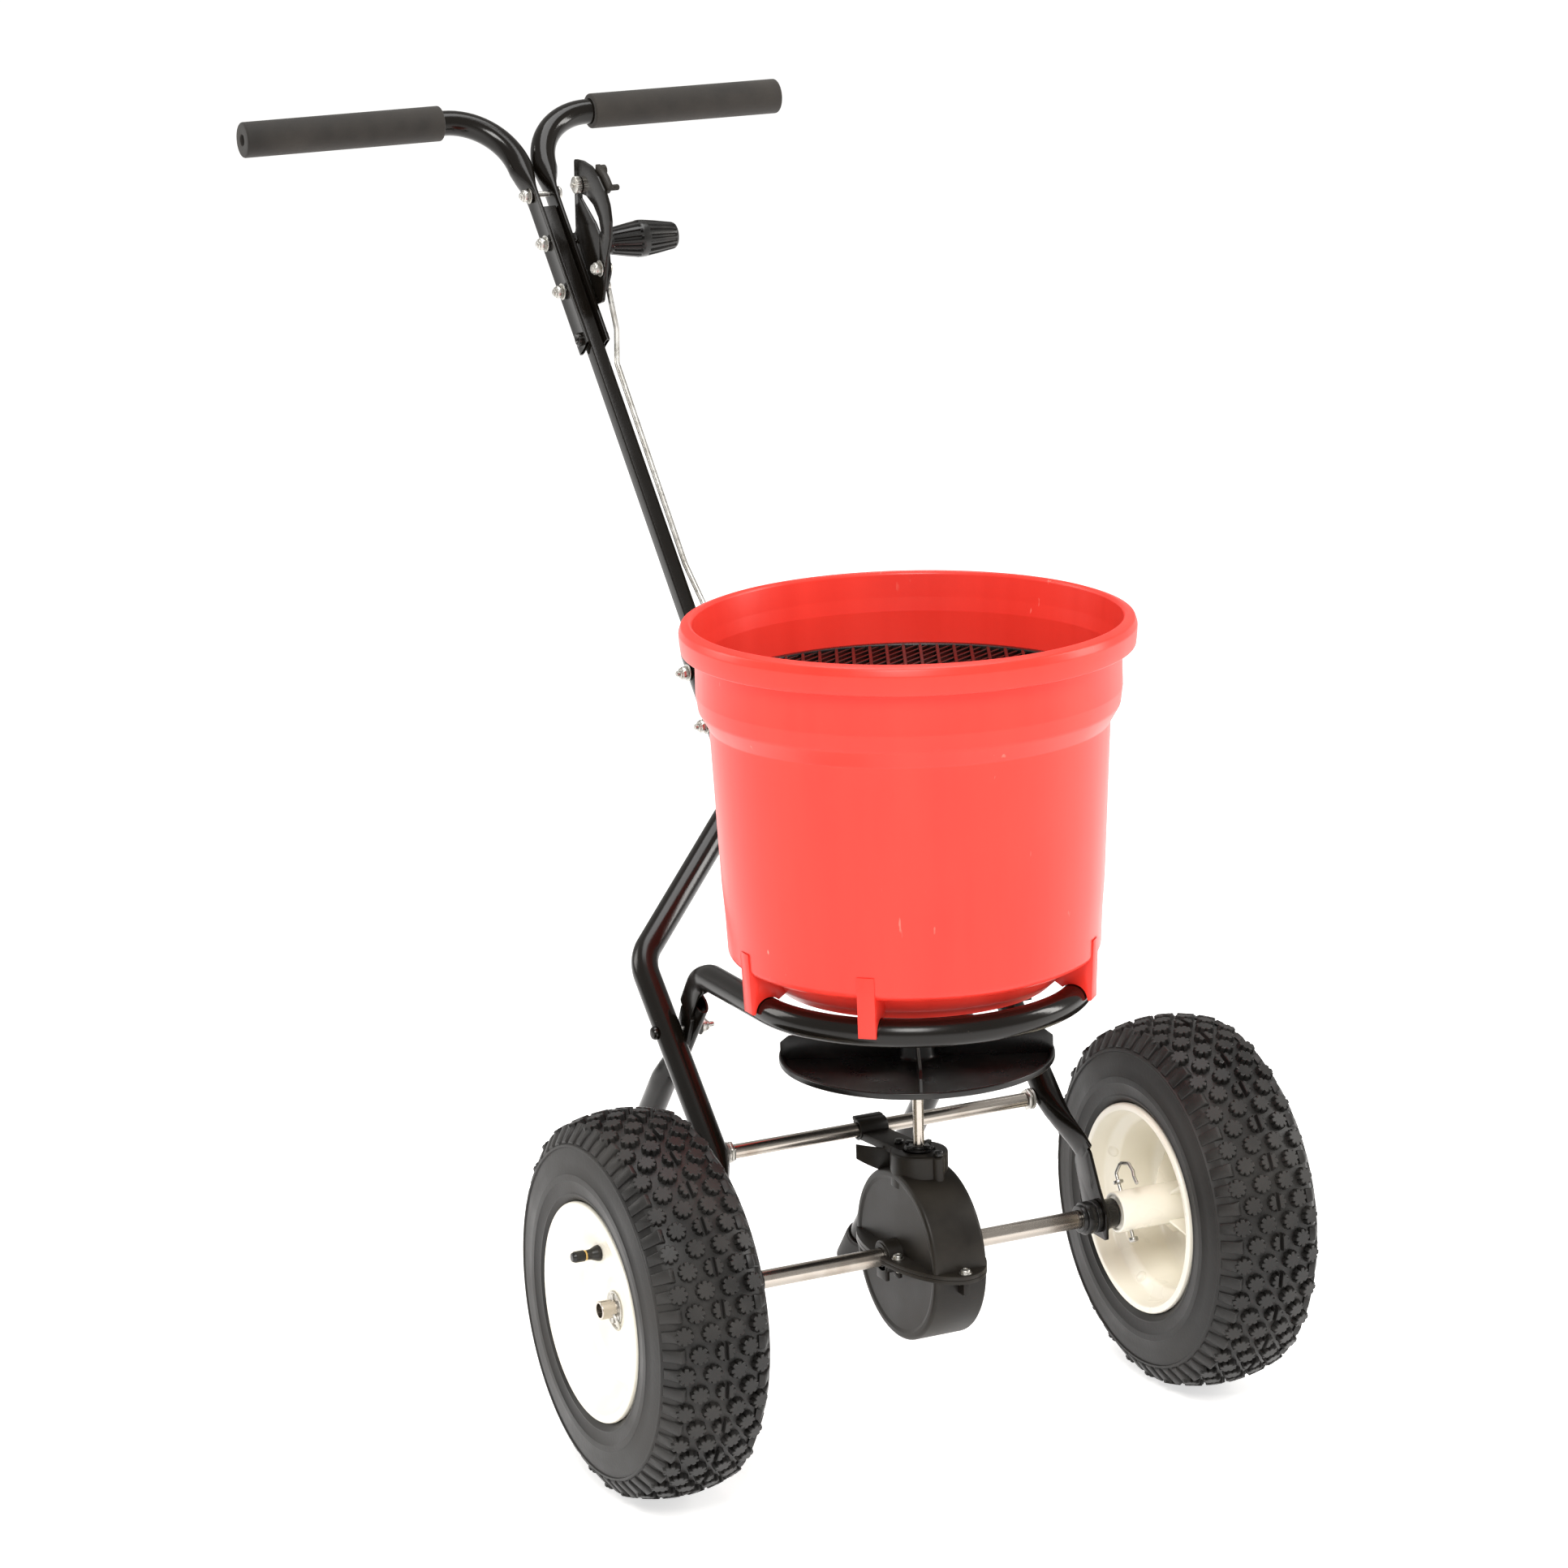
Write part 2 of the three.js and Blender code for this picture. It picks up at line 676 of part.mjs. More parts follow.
function caseTop() {
  const { outer, inner, collars, flange, bore, keep } = drumHalf(true);
  const neck = cylinder(neckRadius, 218, neckTopZ, 16);
  const { armPlate, clip } = clipArm();
  let body = solid(outer).add(solid(collars)).add(solid(flange)).add(solid(neck));
  body = body.add(solid(armPlate)).add(solid(clip));
  body = body.subtract(solid(inner)).subtract(solid(bore)).intersect(solid(keep));
  body = body.subtract(solid(cylinder(9.6 + gap, 200, 300, 12)));
  body = body.subtract(solid(cylinderX(crossRodRadius + 0.5, -60, 60, crossRodY, crossRodZ, 12)));
  const clipMouth = block(-30, 30, crossRodY + 2.5, crossRodY + 20, crossRodZ - 4.5, crossRodZ + 4.5);
  body = body.subtract(solid(clipMouth));
  for (const hole of screwHoles()) body = body.subtract(solid(hole));
  return shell(body);
}

function caseBottom() {
  const { outer, inner, collars, flange, bore, keep } = drumHalf(false);
  let body = solid(outer).add(solid(collars)).add(solid(flange));
  body = body.subtract(solid(inner)).subtract(solid(bore)).intersect(solid(keep));
  for (const hole of screwHoles()) body = body.subtract(solid(hole));
  return shell(body);
}

add('gear_case_top', caseTop(), blackPlastic);
add('gear_case_bottom', caseBottom(), blackPlastic);

caseScrews.forEach(([x, y], i) => {
  const head = cylinder(3.9, axleZ + gap / 2 + 4 + gap, axleZ + 8, 6);
  const shank = cylinder(2.1, axleZ - 10, axleZ + 5, 6);
  add(`case_screw_${i + 1}`, join(head, shank).translate(x, y, 0), zinc);
});

add('shaft_bush', revolve([
  [shaftRadius + 0.35, 232], [9.6, 232], [9.6, neckTopZ + gap], [13, neckTopZ + gap], [13, neckTopZ + 2.5],
  [shaftRadius + 0.35, neckTopZ + 2.5],
], 12), nylon);

for (const [side, sign] of sidesOfMachine) {
  const collar = (from, to) => {
    const ring = revolveX([[axleRadius + 0.45, from], [16, from], [16, to], [axleRadius + 0.45, to]], 12)
      .translate(0, 0, axleZ);
    return sign > 0 ? ring : mirrored(ring);
  };
  add(`axle_bush_${side}_inner`, collar(156, sidePlateX - 1.4 - gap), nylon);
  add(`axle_bush_${side}_outer`, collar(sidePlateX + 1.4 + gap, 191), nylon);
}

// ---------------------------------------------------------------- axle and face gear

const hitchX = 203;                  // clip pin through the right hub
const cotterX = 291.5;               // split pin outside the left dish

function axle() {
  const end = axleHalfLength;
  const wallProfile = [[axleBoreRadius, -end], [axleRadius, -end], [axleRadius, end], [axleBoreRadius, end]];
  return cut(
    revolveX(wallProfile, 12).translate(0, 0, axleZ),
    cylinder(2.4, axleZ - 30, axleZ + 30, 6).translate(hitchX, 0, 0),
    cylinder(2.1, axleZ - 30, axleZ + 30, 6).translate(-cotterX, 0, 0),
  );
}

add('axle_shaft', axle(), brightSteel);

const toothDepth = 4.4;
const faceX = pinionPitchRadius + 2.6;   // plane that the face teeth stand on

function faceGear() {
  const web = revolveX([
    [axleRadius + 0.45, faceX], [60, faceX], [60, faceX + 5], [22, faceX + 5],
    [22, 21 - gap], [axleRadius + 0.45, 21 - gap],
  ], 16);
  let gear = solid(web);
  for (let i = 0; i < gearTeeth; i += 1) {
    const angle = 2 * Math.PI * (i + 0.5) / gearTeeth;
    const [low, high] = [gearPitchRadius - 3.5, gearPitchRadius + 3.5];
    const tooth = block(faceX - toothDepth, faceX + 1, -1.3, 1.3, low, high).rotateX(angle);
    gear = gear.add(solid(tooth));
  }
  return shell(gear).translate(0, 0, axleZ);
}

add('drive_gear', faceGear(), blackPlastic);

function pinion() {
  const low = axleZ + gearPitchRadius - 3;
  const bore = shaftRadius + 0.25;
  const core = revolve([[bore, low], [6.6, low], [6.6, low + 10], [bore, low + 10]], 10);
  let gear = solid(core);
  for (let i = 0; i < pinionTeeth; i += 1) {
    const tooth = new THREE.ExtrudeGeometry(
      outline([[6, -1.6], [pinionPitchRadius + 2.1, -0.9], [pinionPitchRadius + 2.1, 0.9], [6, 1.6]]),
      { depth: 6, bevelEnabled: false },
    ).translate(0, 0, low).rotateZ(2 * Math.PI * i / pinionTeeth);
    gear = gear.add(solid(tooth));
  }
  return shell(gear);
}

add('pinion', pinion(), zinc);

// ---------------------------------------------------------------- impeller shaft

const shaftBottomZ = 198;
const shaftTopZ = 446;
add('impeller_shaft', cylinder(shaftRadius, shaftBottomZ, shaftTopZ, 10), brightSteel);

function impeller() {
  const plate = revolve([
    [shaftRadius + 0.25, impellerZ], [impellerRadius, impellerZ], [impellerRadius, impellerZ + 6],
    [impellerRadius - 3, impellerZ + 6], [impellerRadius - 5, impellerZ + 3],
    [16, impellerZ + 3], [14, impellerZ + 24], [shaftRadius + 0.25, impellerZ + 24],
  ], 24);
  const finCount = 4;
  const fins = [];
  for (let i = 0; i < finCount; i += 1) {
    const fin = new THREE.ExtrudeGeometry(
      outline([[8, 1], [114, 1], [114, 16], [106, 24], [8, 24]]),
      { depth: 2.4, bevelEnabled: false },
    ).translate(0, 0, -1.2).rotateX(Math.PI / 2).translate(0, 0, impellerZ)
      .rotateZ(THREE.MathUtils.degToRad(-25.6) + 2 * Math.PI * i / finCount);
    fins.push(fin);
  }
  const hole = cylinder(shaftRadius + 0.25, impellerZ - 5, impellerZ + 40, 24);
  return cut(join(plate, ...fins), hole);
}

add('impeller', impeller(), glossPlastic);

// Stirring finger that keeps the outlet fed, clamped on the shaft above the hopper floor.
function agitator() {
  const hub = revolve([[shaftRadius + 0.25, 416], [9, 416], [9, 426], [shaftRadius + 0.25, 426]], 10);
  const finger = cylinderX(2, 7, 46, 0, 421, 6);
  return join(hub, finger);
}

add('agitator', agitator(), zinc);

// ---------------------------------------------------------------- wheels

// Heights are measured outwards from the wheel's centre plane.
const rimProfile = [
  [axleRadius + 0.45, dishFace], [60, dishFace], [76, 34], [88, 50], [94, 50], [93.6, 46.6],
  [88.6, 31], [79, 24], [79, -22], [88.6, -31], [93.6, -46.6], [94, -50],
  [88, -50], [85, -32], [75.6, -24], [75.6, 14], [68, 20.6], [hubRadius, 20.6],
  [hubRadius, -hubInnerReach], [axleRadius + 0.45, -hubInnerReach],
];

const tyreProfile = [
  [92.8, 41], [98, 49], [120, tyreHalfWidth], [143, 49.5], [158, 40], [wheelRadius, 14],
  [wheelRadius, -14], [158, -40], [143, -49.5], [120, -tyreHalfWidth], [98, -49], [92.8, -41],
  [92, -34], [104, -41], [132, -42.5], [154, -20], [154, 20], [132, 42.5], [104, 41], [92, 34],
];

function wheelPart(profile) {
  return revolveX(profile, wheelSides).translate(wheelCentreX, 0, axleZ);
}

const stemRadialY = 34;
const stemRadialZ = 38;

function valveStem() {
  return revolveX([[0.01, 0], [7, 0], [4.2, 11], [3.2, 13], [4.2, 14], [4.2, 24], [2.6, 26], [0.01, 26]], 8)
    .translate(wheelCentreX + dishFace + gap, stemRadialY, axleZ + stemRadialZ);
}

for (const [side, sign] of sidesOfMachine) {
  let rim = wheelPart(rimProfile);
  if (sign > 0) rim = cut(rim, cylinder(2.4, axleZ - 40, axleZ + 40, 6).translate(hitchX, 0, 0));
  const tyre = wheelPart(tyreProfile);
  const stem = valveStem();
  add(`rim_${side}`, sign > 0 ? rim : mirrored(rim), creamPaint);
  add(`tyre_${side}`, sign > 0 ? tyre : mirrored(tyre), rubber);
  add(`valve_stem_${side}`, sign > 0 ? stem : mirrored(stem), rubber);
}

// Clip pin through the right hub and axle, and split pin outside the left wheel.
add('hitch_pin', join(
  cylinder(2, axleZ - 30, axleZ + 30, 8),
  cylinder(4, axleZ + hubRadius + 1, axleZ + hubRadius + 5, 8),
).translate(hitchX, 0, 0), zinc);
add('cotter_pin', join(
  cylinder(1.6, axleZ - 14, axleZ + 12, 6),
  cylinder(3.4, axleZ + axleRadius + 1, axleZ + axleRadius + 6, 8),
).translate(-cotterX, 0, 0), zinc);

// ---------------------------------------------------------------- rate gauge and lever

const gaugeHoles = handleBoltStations.slice(1, 3).map((s) => {
  const place = onHandle(s);
  return [place.y, place.z, 3.6];
});

// The plate stands up off the right handle half; its front edge is an arc about the stop's track.
const gaugeOutline = [
  [694, 1034], [676, 1034], [657, 1031], [640, 1023], [627, 1012], [618, 998], [615, 984], [617, 968],
  [626, 950], [631, 930], [640, 905], [664, 898], [680, 905], [713, 953], [712, 962], [696, 964],
];
const slotOutline = [
  [683, 1003], [668, 1002], [652, 995], [641, 984], [637, 972], [642, 968], [652, 978], [683, 998],
];

function gaugePlate() {
  const holes = [...gaugeHoles, [pivotY, pivotZ, 3.4]];
  const plate = plateYZ(gaugeOutline, plateX, plateX + plateThickness, holes);
  const slot = plateYZ(slotOutline, plateX - 5, plateX + plateThickness + 5);
  return cut(plate, slot);
}

add('gauge_plate', gaugePlate(), blackPaint);

// Rate stop: a slider on the arc edge with a knob and a stop pin, and the plate's thumb nut.
const arcY = 661;
const arcZ = 986;

function rateStop() {
  const from = plateX + plateThickness + gap;
  const shape = new THREE.Shape()
    .absarc(arcY, arcZ, 48, Math.PI * 0.56, Math.PI * 0.8, false)
    .absarc(arcY, arcZ, 36, Math.PI * 0.8, Math.PI * 0.56, true);
  const body = new THREE.ExtrudeGeometry(shape, { depth: 5, bevelEnabled: false, curveSegments: 4 })
    .rotateX(Math.PI / 2).rotateZ(Math.PI / 2).translate(from, 0, 0);
  const knob = cylinderX(5, from + 4, from + 10, 650, 1027, 8);
  const pin = cylinderX(3, from + 4, from + 14, 630, 1013, 8);
  return join(body, knob, pin);
}

add('rate_stop', rateStop(), blackPlastic);
add('gauge_nut', join(
  cylinderX(8.5, plateX - gap - 6, plateX - gap, 682, 1011, 10),
  cylinderX(2.8, plateX - gap - 9, plateX - gap - 5, 682, 1011, 6),
), zinc);

const gripAxis = [pivotY + 4, pivotZ + 24];
const rodHook = [pivotY + 8, pivotZ - 18.3];

function rateLever() {
  const [hookY, hookZ] = rodHook;
  const [gripY, gripZ] = gripAxis;
  const plate = plateYZ(
    [[pivotY - 10, pivotZ - 4], [hookY - 7, hookZ - 4], [hookY + 4, hookZ - 6], [hookY + 8, hookZ + 3],
      [pivotY + 11, pivotZ], [gripY + 10, gripZ - 8], [gripY + 9, gripZ + 9], [gripY - 9, gripZ + 9],
      [gripY - 11, gripZ - 8]],
    leverX, leverX + leverThickness, [[pivotY, pivotZ, 3.4]],
  );
  const peg = cylinderX(5.5, leverX + 1, leverX + 60, gripY, gripZ, 10);
  return join(plate, peg);
}

add('rate_lever', rateLever(), blackPaint);

function leverGrip() {
  const start = leverX + leverThickness + gap;
  const profile = [
    [5.5 + gap, 0], [11.2, 0], [12.6, 2], [17.6, 30], [17.6, 40], [12.2, leverGripLength - 2],
    [10.5, leverGripLength], [0.01, leverGripLength], [0.01, 62], [5.5 + gap, 62],
  ].map(([r, u]) => [r, u + start]);
  return revolveX(profile, 12).translate(0, gripAxis[0], gripAxis[1]);
}

add('lever_grip', leverGrip(), blackPlastic);

const pivotHeadX = leverX + leverThickness + gap;
add('lever_pivot_bolt', crossBolt(pivotY, pivotZ, pivotHeadX, plateX - gap), zinc);

// ---------------------------------------------------------------- control rod

// From the lever down in front of the right handle half, along the main tube, then forward under
// the hopper to the shutter's arm, where it ends beside the arm with clearance.
function controlRod() {
  return rod([
    new THREE.Vector3(leverX + leverThickness + rodRadius + 2 * gap, ...rodHook),
    onHandle(292, 16, 19.5),
    onHandle(258, 12.5, 10),
    onHandle(40, 10.4, 9),
    new THREE.Vector3(27, 176, 414),
    new THREE.Vector3(27, 160, 409),
  ], rodRadius);
}

add('control_rod', controlRod(), zinc);

// ---------------------------------------------------------------- origin

const rearmostY = onHandle(gripStation).y + gripRadius;
spreader.position.y = (rimRadius - rearmostY) / 2;

export default spreader;
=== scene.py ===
# Walk-behind broadcast spreader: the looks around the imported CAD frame.
# Pieces are drawn in millimetres with the axle above (0, 0) and moved onto the frame at the end.
import math
import bpy
import bmesh
from mathutils import Matrix, Vector


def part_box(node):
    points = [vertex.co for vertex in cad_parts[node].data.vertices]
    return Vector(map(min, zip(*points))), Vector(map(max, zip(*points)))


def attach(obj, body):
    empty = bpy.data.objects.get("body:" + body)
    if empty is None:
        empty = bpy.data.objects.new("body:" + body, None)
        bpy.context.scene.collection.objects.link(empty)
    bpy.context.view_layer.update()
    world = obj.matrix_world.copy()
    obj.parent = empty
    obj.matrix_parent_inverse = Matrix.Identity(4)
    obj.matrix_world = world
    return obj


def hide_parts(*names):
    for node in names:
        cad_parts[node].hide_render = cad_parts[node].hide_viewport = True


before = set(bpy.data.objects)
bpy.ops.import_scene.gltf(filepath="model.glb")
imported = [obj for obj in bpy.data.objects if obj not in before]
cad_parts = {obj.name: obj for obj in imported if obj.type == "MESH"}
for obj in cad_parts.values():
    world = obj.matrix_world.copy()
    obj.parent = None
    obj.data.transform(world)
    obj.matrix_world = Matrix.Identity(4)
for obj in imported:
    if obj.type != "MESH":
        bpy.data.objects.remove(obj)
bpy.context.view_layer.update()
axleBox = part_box("axle_shaft")
axleY = (axleBox[0][1] + axleBox[1][1]) / 2      # metres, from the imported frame
axleZ = (axleBox[0][2] + axleBox[1][2]) * 500    # millimetres
trackHalf = 262.8     # middle of each wheel from the middle of the axle
sides = (("left", -1), ("right", 1))
print("frame loaded, axle at", round(axleY, 4), round(axleZ, 1))


# Finishes.

def startFinish(name, metallic=0.0, coat=0.0, specular=0.5):
    material = bpy.data.materials.new(name)
    material.use_nodes = True
    shader = material.node_tree.nodes["Principled BSDF"]
    shader.inputs["Metallic"].default_value = metallic
    shader.inputs["Coat Weight"].default_value = coat
    shader.inputs["Coat Roughness"].default_value = 0.06
    shader.inputs["Specular IOR Level"].default_value = specular
    return material, shader


noise, cells = "ShaderNodeTexNoise", "ShaderNodeTexVoronoi"


def patternFrom(material, kind, scale, stretch=(1, 1, 1), detail=4.0):
    nodes, links = material.node_tree.nodes, material.node_tree.links
    where = nodes.new("ShaderNodeTexCoord")
    mapping = nodes.new("ShaderNodeMapping")
    mapping.inputs["Scale"].default_value = stretch
    links.new(where.outputs["Object"], mapping.inputs["Vector"])
    texture = nodes.new(kind)
    texture.inputs["Scale"].default_value = scale
    if kind == noise:
        texture.inputs["Detail"].default_value = detail
    links.new(mapping.outputs["Vector"], texture.inputs["Vector"])
    return texture.outputs["Distance" if kind == cells else "Fac"]


def ranged(material, source, low, high, toLow, toHigh):
    node = material.node_tree.nodes.new("ShaderNodeMapRange")
    node.inputs["From Min"].default_value = low
    node.inputs["From Max"].default_value = high
    node.inputs["To Min"].default_value = toLow
    node.inputs["To Max"].default_value = toHigh
    material.node_tree.links.new(source, node.inputs["Value"])
    return node.outputs["Result"]


def mixed(material, factor, first, second):
    nodes, links = material.node_tree.nodes, material.node_tree.links
    node = nodes.new("ShaderNodeMix")
    node.data_type = "RGBA"
    links.new(factor, node.inputs["Factor"])
    for socket, value in ((node.inputs[6], first), (node.inputs[7], second)):
        if isinstance(value, tuple):
            socket.default_value = (*value, 1)
        else:
            links.new(value, socket)
    return node.outputs[2]


def bumped(material, shader, layers):
    nodes, links = material.node_tree.nodes, material.node_tree.links
    normal = None
    for source, strength, distance in layers:
        bump = nodes.new("ShaderNodeBump")
        bump.inputs["Strength"].default_value = strength
        bump.inputs["Distance"].default_value = distance
        links.new(source, bump.inputs["Height"])
        if normal:
            links.new(normal, bump.inputs["Normal"])
        normal = bump.outputs["Normal"]
    links.new(normal, shader.inputs["Normal"])


def connect(material, source, socket):
    material.node_tree.links.new(source, socket)


# Specks of dust lie only where a second pattern is high.
def masked(material, first, second):
    both = material.node_tree.nodes.new("ShaderNodeMath")
    both.operation = "MULTIPLY"
    connect(material, first, both.inputs[0])
    connect(material, second, both.inputs[1])
    return both.outputs[0]


def makePowderCoat():
    coat = dict(base=(0.0048, 0.0037, 0.0026), dust=(0.06, 0.05, 0.04), peel=380, roughness=(0.13, 0.24))
    material, shader = startFinish("blackPowderCoat", specular=0.3)
    cloud = patternFrom(material, noise, 9)
    connect(material, ranged(material, cloud, 0.35, 0.7, *coat["roughness"]), shader.inputs["Roughness"])
    specks = ranged(material, patternFrom(material, cells, 210), 0.05, 0.11, 1, 0)
    sparse = ranged(material, patternFrom(material, noise, 26), 0.62, 0.68, 0, 1)
    dusty = mixed(material, masked(material, specks, sparse), coat["base"], coat["dust"])
    connect(material, dusty, shader.inputs["Base Color"])
    bumped(material, shader, [(patternFrom(material, noise, coat["peel"], detail=2), 0.10, 0.0004)])
    return material


def makeRedPlastic():
    tint = dict(deep=(0.70, 0.026, 0.016), bright=(0.88, 0.047, 0.030), scuff=(0.95, 0.36, 0.28))
    material, shader = startFinish("redPolyethylene", specular=0.34)
    shader.inputs["Subsurface Weight"].default_value = 0.06
    shader.inputs["Subsurface Radius"].default_value = (0.012, 0.003, 0.002)
    flow = patternFrom(material, noise, 16, stretch=(1, 1, 0.09), detail=5)
    cloud = patternFrom(material, noise, 5, detail=3)
    blotch = mixed(material, ranged(material, flow, 0.3, 0.72, 0, 1), tint["deep"], tint["bright"])
    tone = mixed(material, ranged(material, cloud, 0.3, 0.7, 0, 0.5), blotch, tint["bright"])
    scratches = patternFrom(material, noise, 150, stretch=(1, 1, 0.35), detail=2)
    where = patternFrom(material, noise, 11, detail=2)
    scuffs = masked(material, ranged(material, scratches, 0.70, 0.76, 0, 0.8),
                    ranged(material, where, 0.58, 0.66, 0, 1))
    connect(material, mixed(material, scuffs, tone, tint["scuff"]), shader.inputs["Base Color"])
    connect(material, ranged(material, flow, 0.3, 0.7, 0.27, 0.42), shader.inputs["Roughness"])
    grain = patternFrom(material, noise, 420, detail=2)
    bumped(material, shader, [(flow, 0.10, 0.0015), (grain, 0.05, 0.0003)])
    return material


# One cloud or streak pattern tints and another roughens: tint is (pattern, low, high, most, first tone,
# second tone), gloss is (pattern, low, high, smoothest, roughest), a bump is (pattern, strength, distance).
def makeFinish(name, patterns, tint, gloss, bumps, **shine):
    material, shader = startFinish(name, **shine)
    made = {key: patternFrom(material, kind, scale, **more) for key, (kind, scale, more) in patterns.items()}
    source, low, high, most, first, second = tint
    amount = ranged(material, made[source], low, high, 0, most)
    connect(material, mixed(material, amount, first, second), shader.inputs["Base Color"])
    source, *limits = gloss
    connect(material, ranged(material, made[source], *limits), shader.inputs["Roughness"])
    bumped(material, shader, [(made[source], strength, distance) for source, strength, distance in bumps])
    return material


def makeBrass():
    material, shader = startFinish("brass", metallic=1.0)
    shader.inputs["Roughness"].default_value = 0.25
    cloud = patternFrom(material, noise, 90)
    connect(material, mixed(material, cloud, (0.75, 0.52, 0.20), (0.55, 0.36, 0.13)), shader.inputs["Base Color"])
    return material


powderCoat = makePowderCoat()
redPlastic = makeRedPlastic()
rubber = makeFinish(
    "tyreRubber", dict(cloud=(noise, 14, dict(detail=6)), grain=(noise, 300, {})),
    ("cloud", 0.42, 0.78, 1, (0.0095, 0.0088, 0.0082), (0.030, 0.0275, 0.025)),
    ("cloud", 0.3, 0.7, 0.40, 0.62), [("grain", 0.22, 0.0006)], specular=0.34)
creamPaint = makeFinish(
    "creamEnamel", dict(cloud=(noise, 12, {}), peel=(noise, 160, dict(detail=2))),
    ("cloud", 0.4, 0.75, 0.7, (0.90, 0.86, 0.75), (0.84, 0.79, 0.66)),
    ("cloud", 0.3, 0.7, 0.22, 0.38), [("peel", 0.10, 0.0006)], coat=0.25)
brightSteel = makeFinish(
    "drawnSteel", dict(streak=(noise, 240, dict(stretch=(0.03, 1, 1))), stain=(noise, 22, dict(detail=5))),
    ("stain", 0.52, 0.75, 0.8, (0.50, 0.455, 0.405), (0.27, 0.21, 0.16)),
    ("streak", 0.3, 0.7, 0.14, 0.32), [("streak", 0.08, 0.0002)], metallic=1.0)
zinc = makeFinish(
    "zincPlate", dict(spangle=(cells, 260, {}), cloud=(noise, 60, {})),
    ("cloud", 0.4, 0.7, 0.8, (0.56, 0.55, 0.52), (0.32, 0.30, 0.265)),
    ("spangle", 0, 0.6, 0.2, 0.4), [("cloud", 0.12, 0.0003)], metallic=1.0)
darkPlastic = makeFinish(
    "mouldedNylon", dict(cloud=(noise, 18, dict(detail=5)), grain=(noise, 620, dict(detail=3))),
    ("cloud", 0.4, 0.75, 1, (0.0085, 0.0066, 0.0048), (0.024, 0.020, 0.015)),
    ("cloud", 0.3, 0.7, 0.36, 0.52), [("grain", 0.16, 0.0003)], specular=0.26)
glossPlastic = makeFinish(
    "glossyPlastic", dict(cloud=(noise, 30, dict(detail=6)), ripple=(noise, 70, dict(detail=2))),
    ("cloud", 0.55, 0.8, 1, (0.006, 0.0055, 0.005), (0.024, 0.022, 0.019)),
    ("cloud", 0.3, 0.75, 0.2, 0.42), [("ripple", 0.10, 0.0005)], specular=0.42)
foam = makeFinish(
    "closedCellFoam", dict(cloud=(noise, 22, dict(detail=6)), pores=(cells, 900, {}), dents=(noise, 90, {})),
    ("cloud", 0.35, 0.72, 1, (0.013, 0.0112, 0.0095), (0.032, 0.028, 0.024)),
    ("cloud", 0.3, 0.7, 0.62, 0.85), [("pores", 0.25, 0.0003), ("dents", 0.25, 0.0010)], specular=0.2)
foamShader = foam.node_tree.nodes["Principled BSDF"]
foamShader.inputs["Sheen Weight"].default_value = 0.08
foamShader.inputs["Sheen Roughness"].default_value = 0.6
brass = makeBrass()
print("finishes made")


# Shapes made with bmesh operators.

# Closed outline from (a, b) or (a, b, radius) corners, the round ones as arcs.
def outline(corners, steps=6):
    points = []
    for i, corner in enumerate(corners):
        here = Vector(corner[:2])
        if len(corner) < 3:
            points.append(here)
            continue
        before = (Vector(corners[i - 1][:2]) - here).normalized()
        after = (Vector(corners[(i + 1) % len(corners)][:2]) - here).normalized()
        half = before.angle(after) / 2
        reach = corner[2] / math.tan(half)
        centre = here + (before + after).normalized() * corner[2] / math.sin(half)
        start = here + before * reach - centre
        end = here + after * reach - centre
        turn = math.pi - 2 * half
        if start.x * end.y - start.y * end.x < 0:
            turn = -turn
        points += [centre + Matrix.Rotation(turn * k / steps, 2) @ start for k in range(steps + 1)]
    return points


def circle(radius, count=24, centre=(0, 0)):
    angles = [math.tau * i / count for i in range(count)]
    return [Vector((centre[0] + radius * math.cos(a), centre[1] + radius * math.sin(a))) for a in angles]


def closedEdges(bm, ring):
    return [bm.edges.get(pair) or bm.edges.new(pair) for pair in zip(ring, ring[1:] + ring[:1])]


def tidyShell(bm):
    bmesh.ops.remove_doubles(bm, verts=bm.verts[:], dist=2e-4)
    bmesh.ops.dissolve_degenerate(bm, edges=bm.edges[:], dist=1e-4)
    bmesh.ops.recalc_face_normals(bm, faces=bm.faces[:])
    return bm


# A closed profile of (radius, height) pairs spun about Z.
def spun(profile, steps=96):
    bm = bmesh.new()
    ring = [bm.verts.new((r, 0, h)) for r, h in profile]
    edges = closedEdges(bm, ring)
    bmesh.ops.spin(bm, geom=ring + edges, cent=(0, 0, 0), axis=(0, 0, 1), angle=math.tau, steps=steps,
                   use_merge=True)
    return tidyShell(bm)


def softened(bm, width, angle=35, segments=2):
    sharp = [e for e in bm.edges if e.is_manifold and e.calc_face_angle(0) > math.radians(angle)]
    bmesh.ops.bevel(bm, geom=sharp, offset=width, offset_type="OFFSET", affect="EDGES", segments=segments,
                    profile=0.5, material=-1, clamp_overlap=True)
    return bm


# A flat outline with holes, pushed up by its depth.
def plate(points, depth, edge=0.5, holes=(), segments=2):
    bm = bmesh.new()
    for loop in (points, *holes):
        closedEdges(bm, [bm.verts.new((p[0], p[1], 0)) for p in loop])
    bmesh.ops.triangle_fill(bm, edges=bm.edges[:], use_beauty=True)
    grown = bmesh.ops.extrude_face_region(bm, geom=bm.faces[:])["geom"]
    bmesh.ops.translate(bm, vec=(0, 0, depth), verts=[g for g in grown if isinstance(g, bmesh.types.BMVert)])
    bmesh.ops.recalc_face_normals(bm, faces=bm.faces[:])
    return softened(bm, edge, segments=segments) if edge else bm


def box(low, high, edge=1.0, segments=2):
    bm = bmesh.new()
    bmesh.ops.create_cube(bm, size=1)
    size = Vector(high) - Vector(low)
    bmesh.ops.scale(bm, vec=size, verts=bm.verts[:])
    bmesh.ops.translate(bm, vec=Vector(low) + size / 2, verts=bm.verts[:])
    return softened(bm, edge, segments=segments) if edge else bm


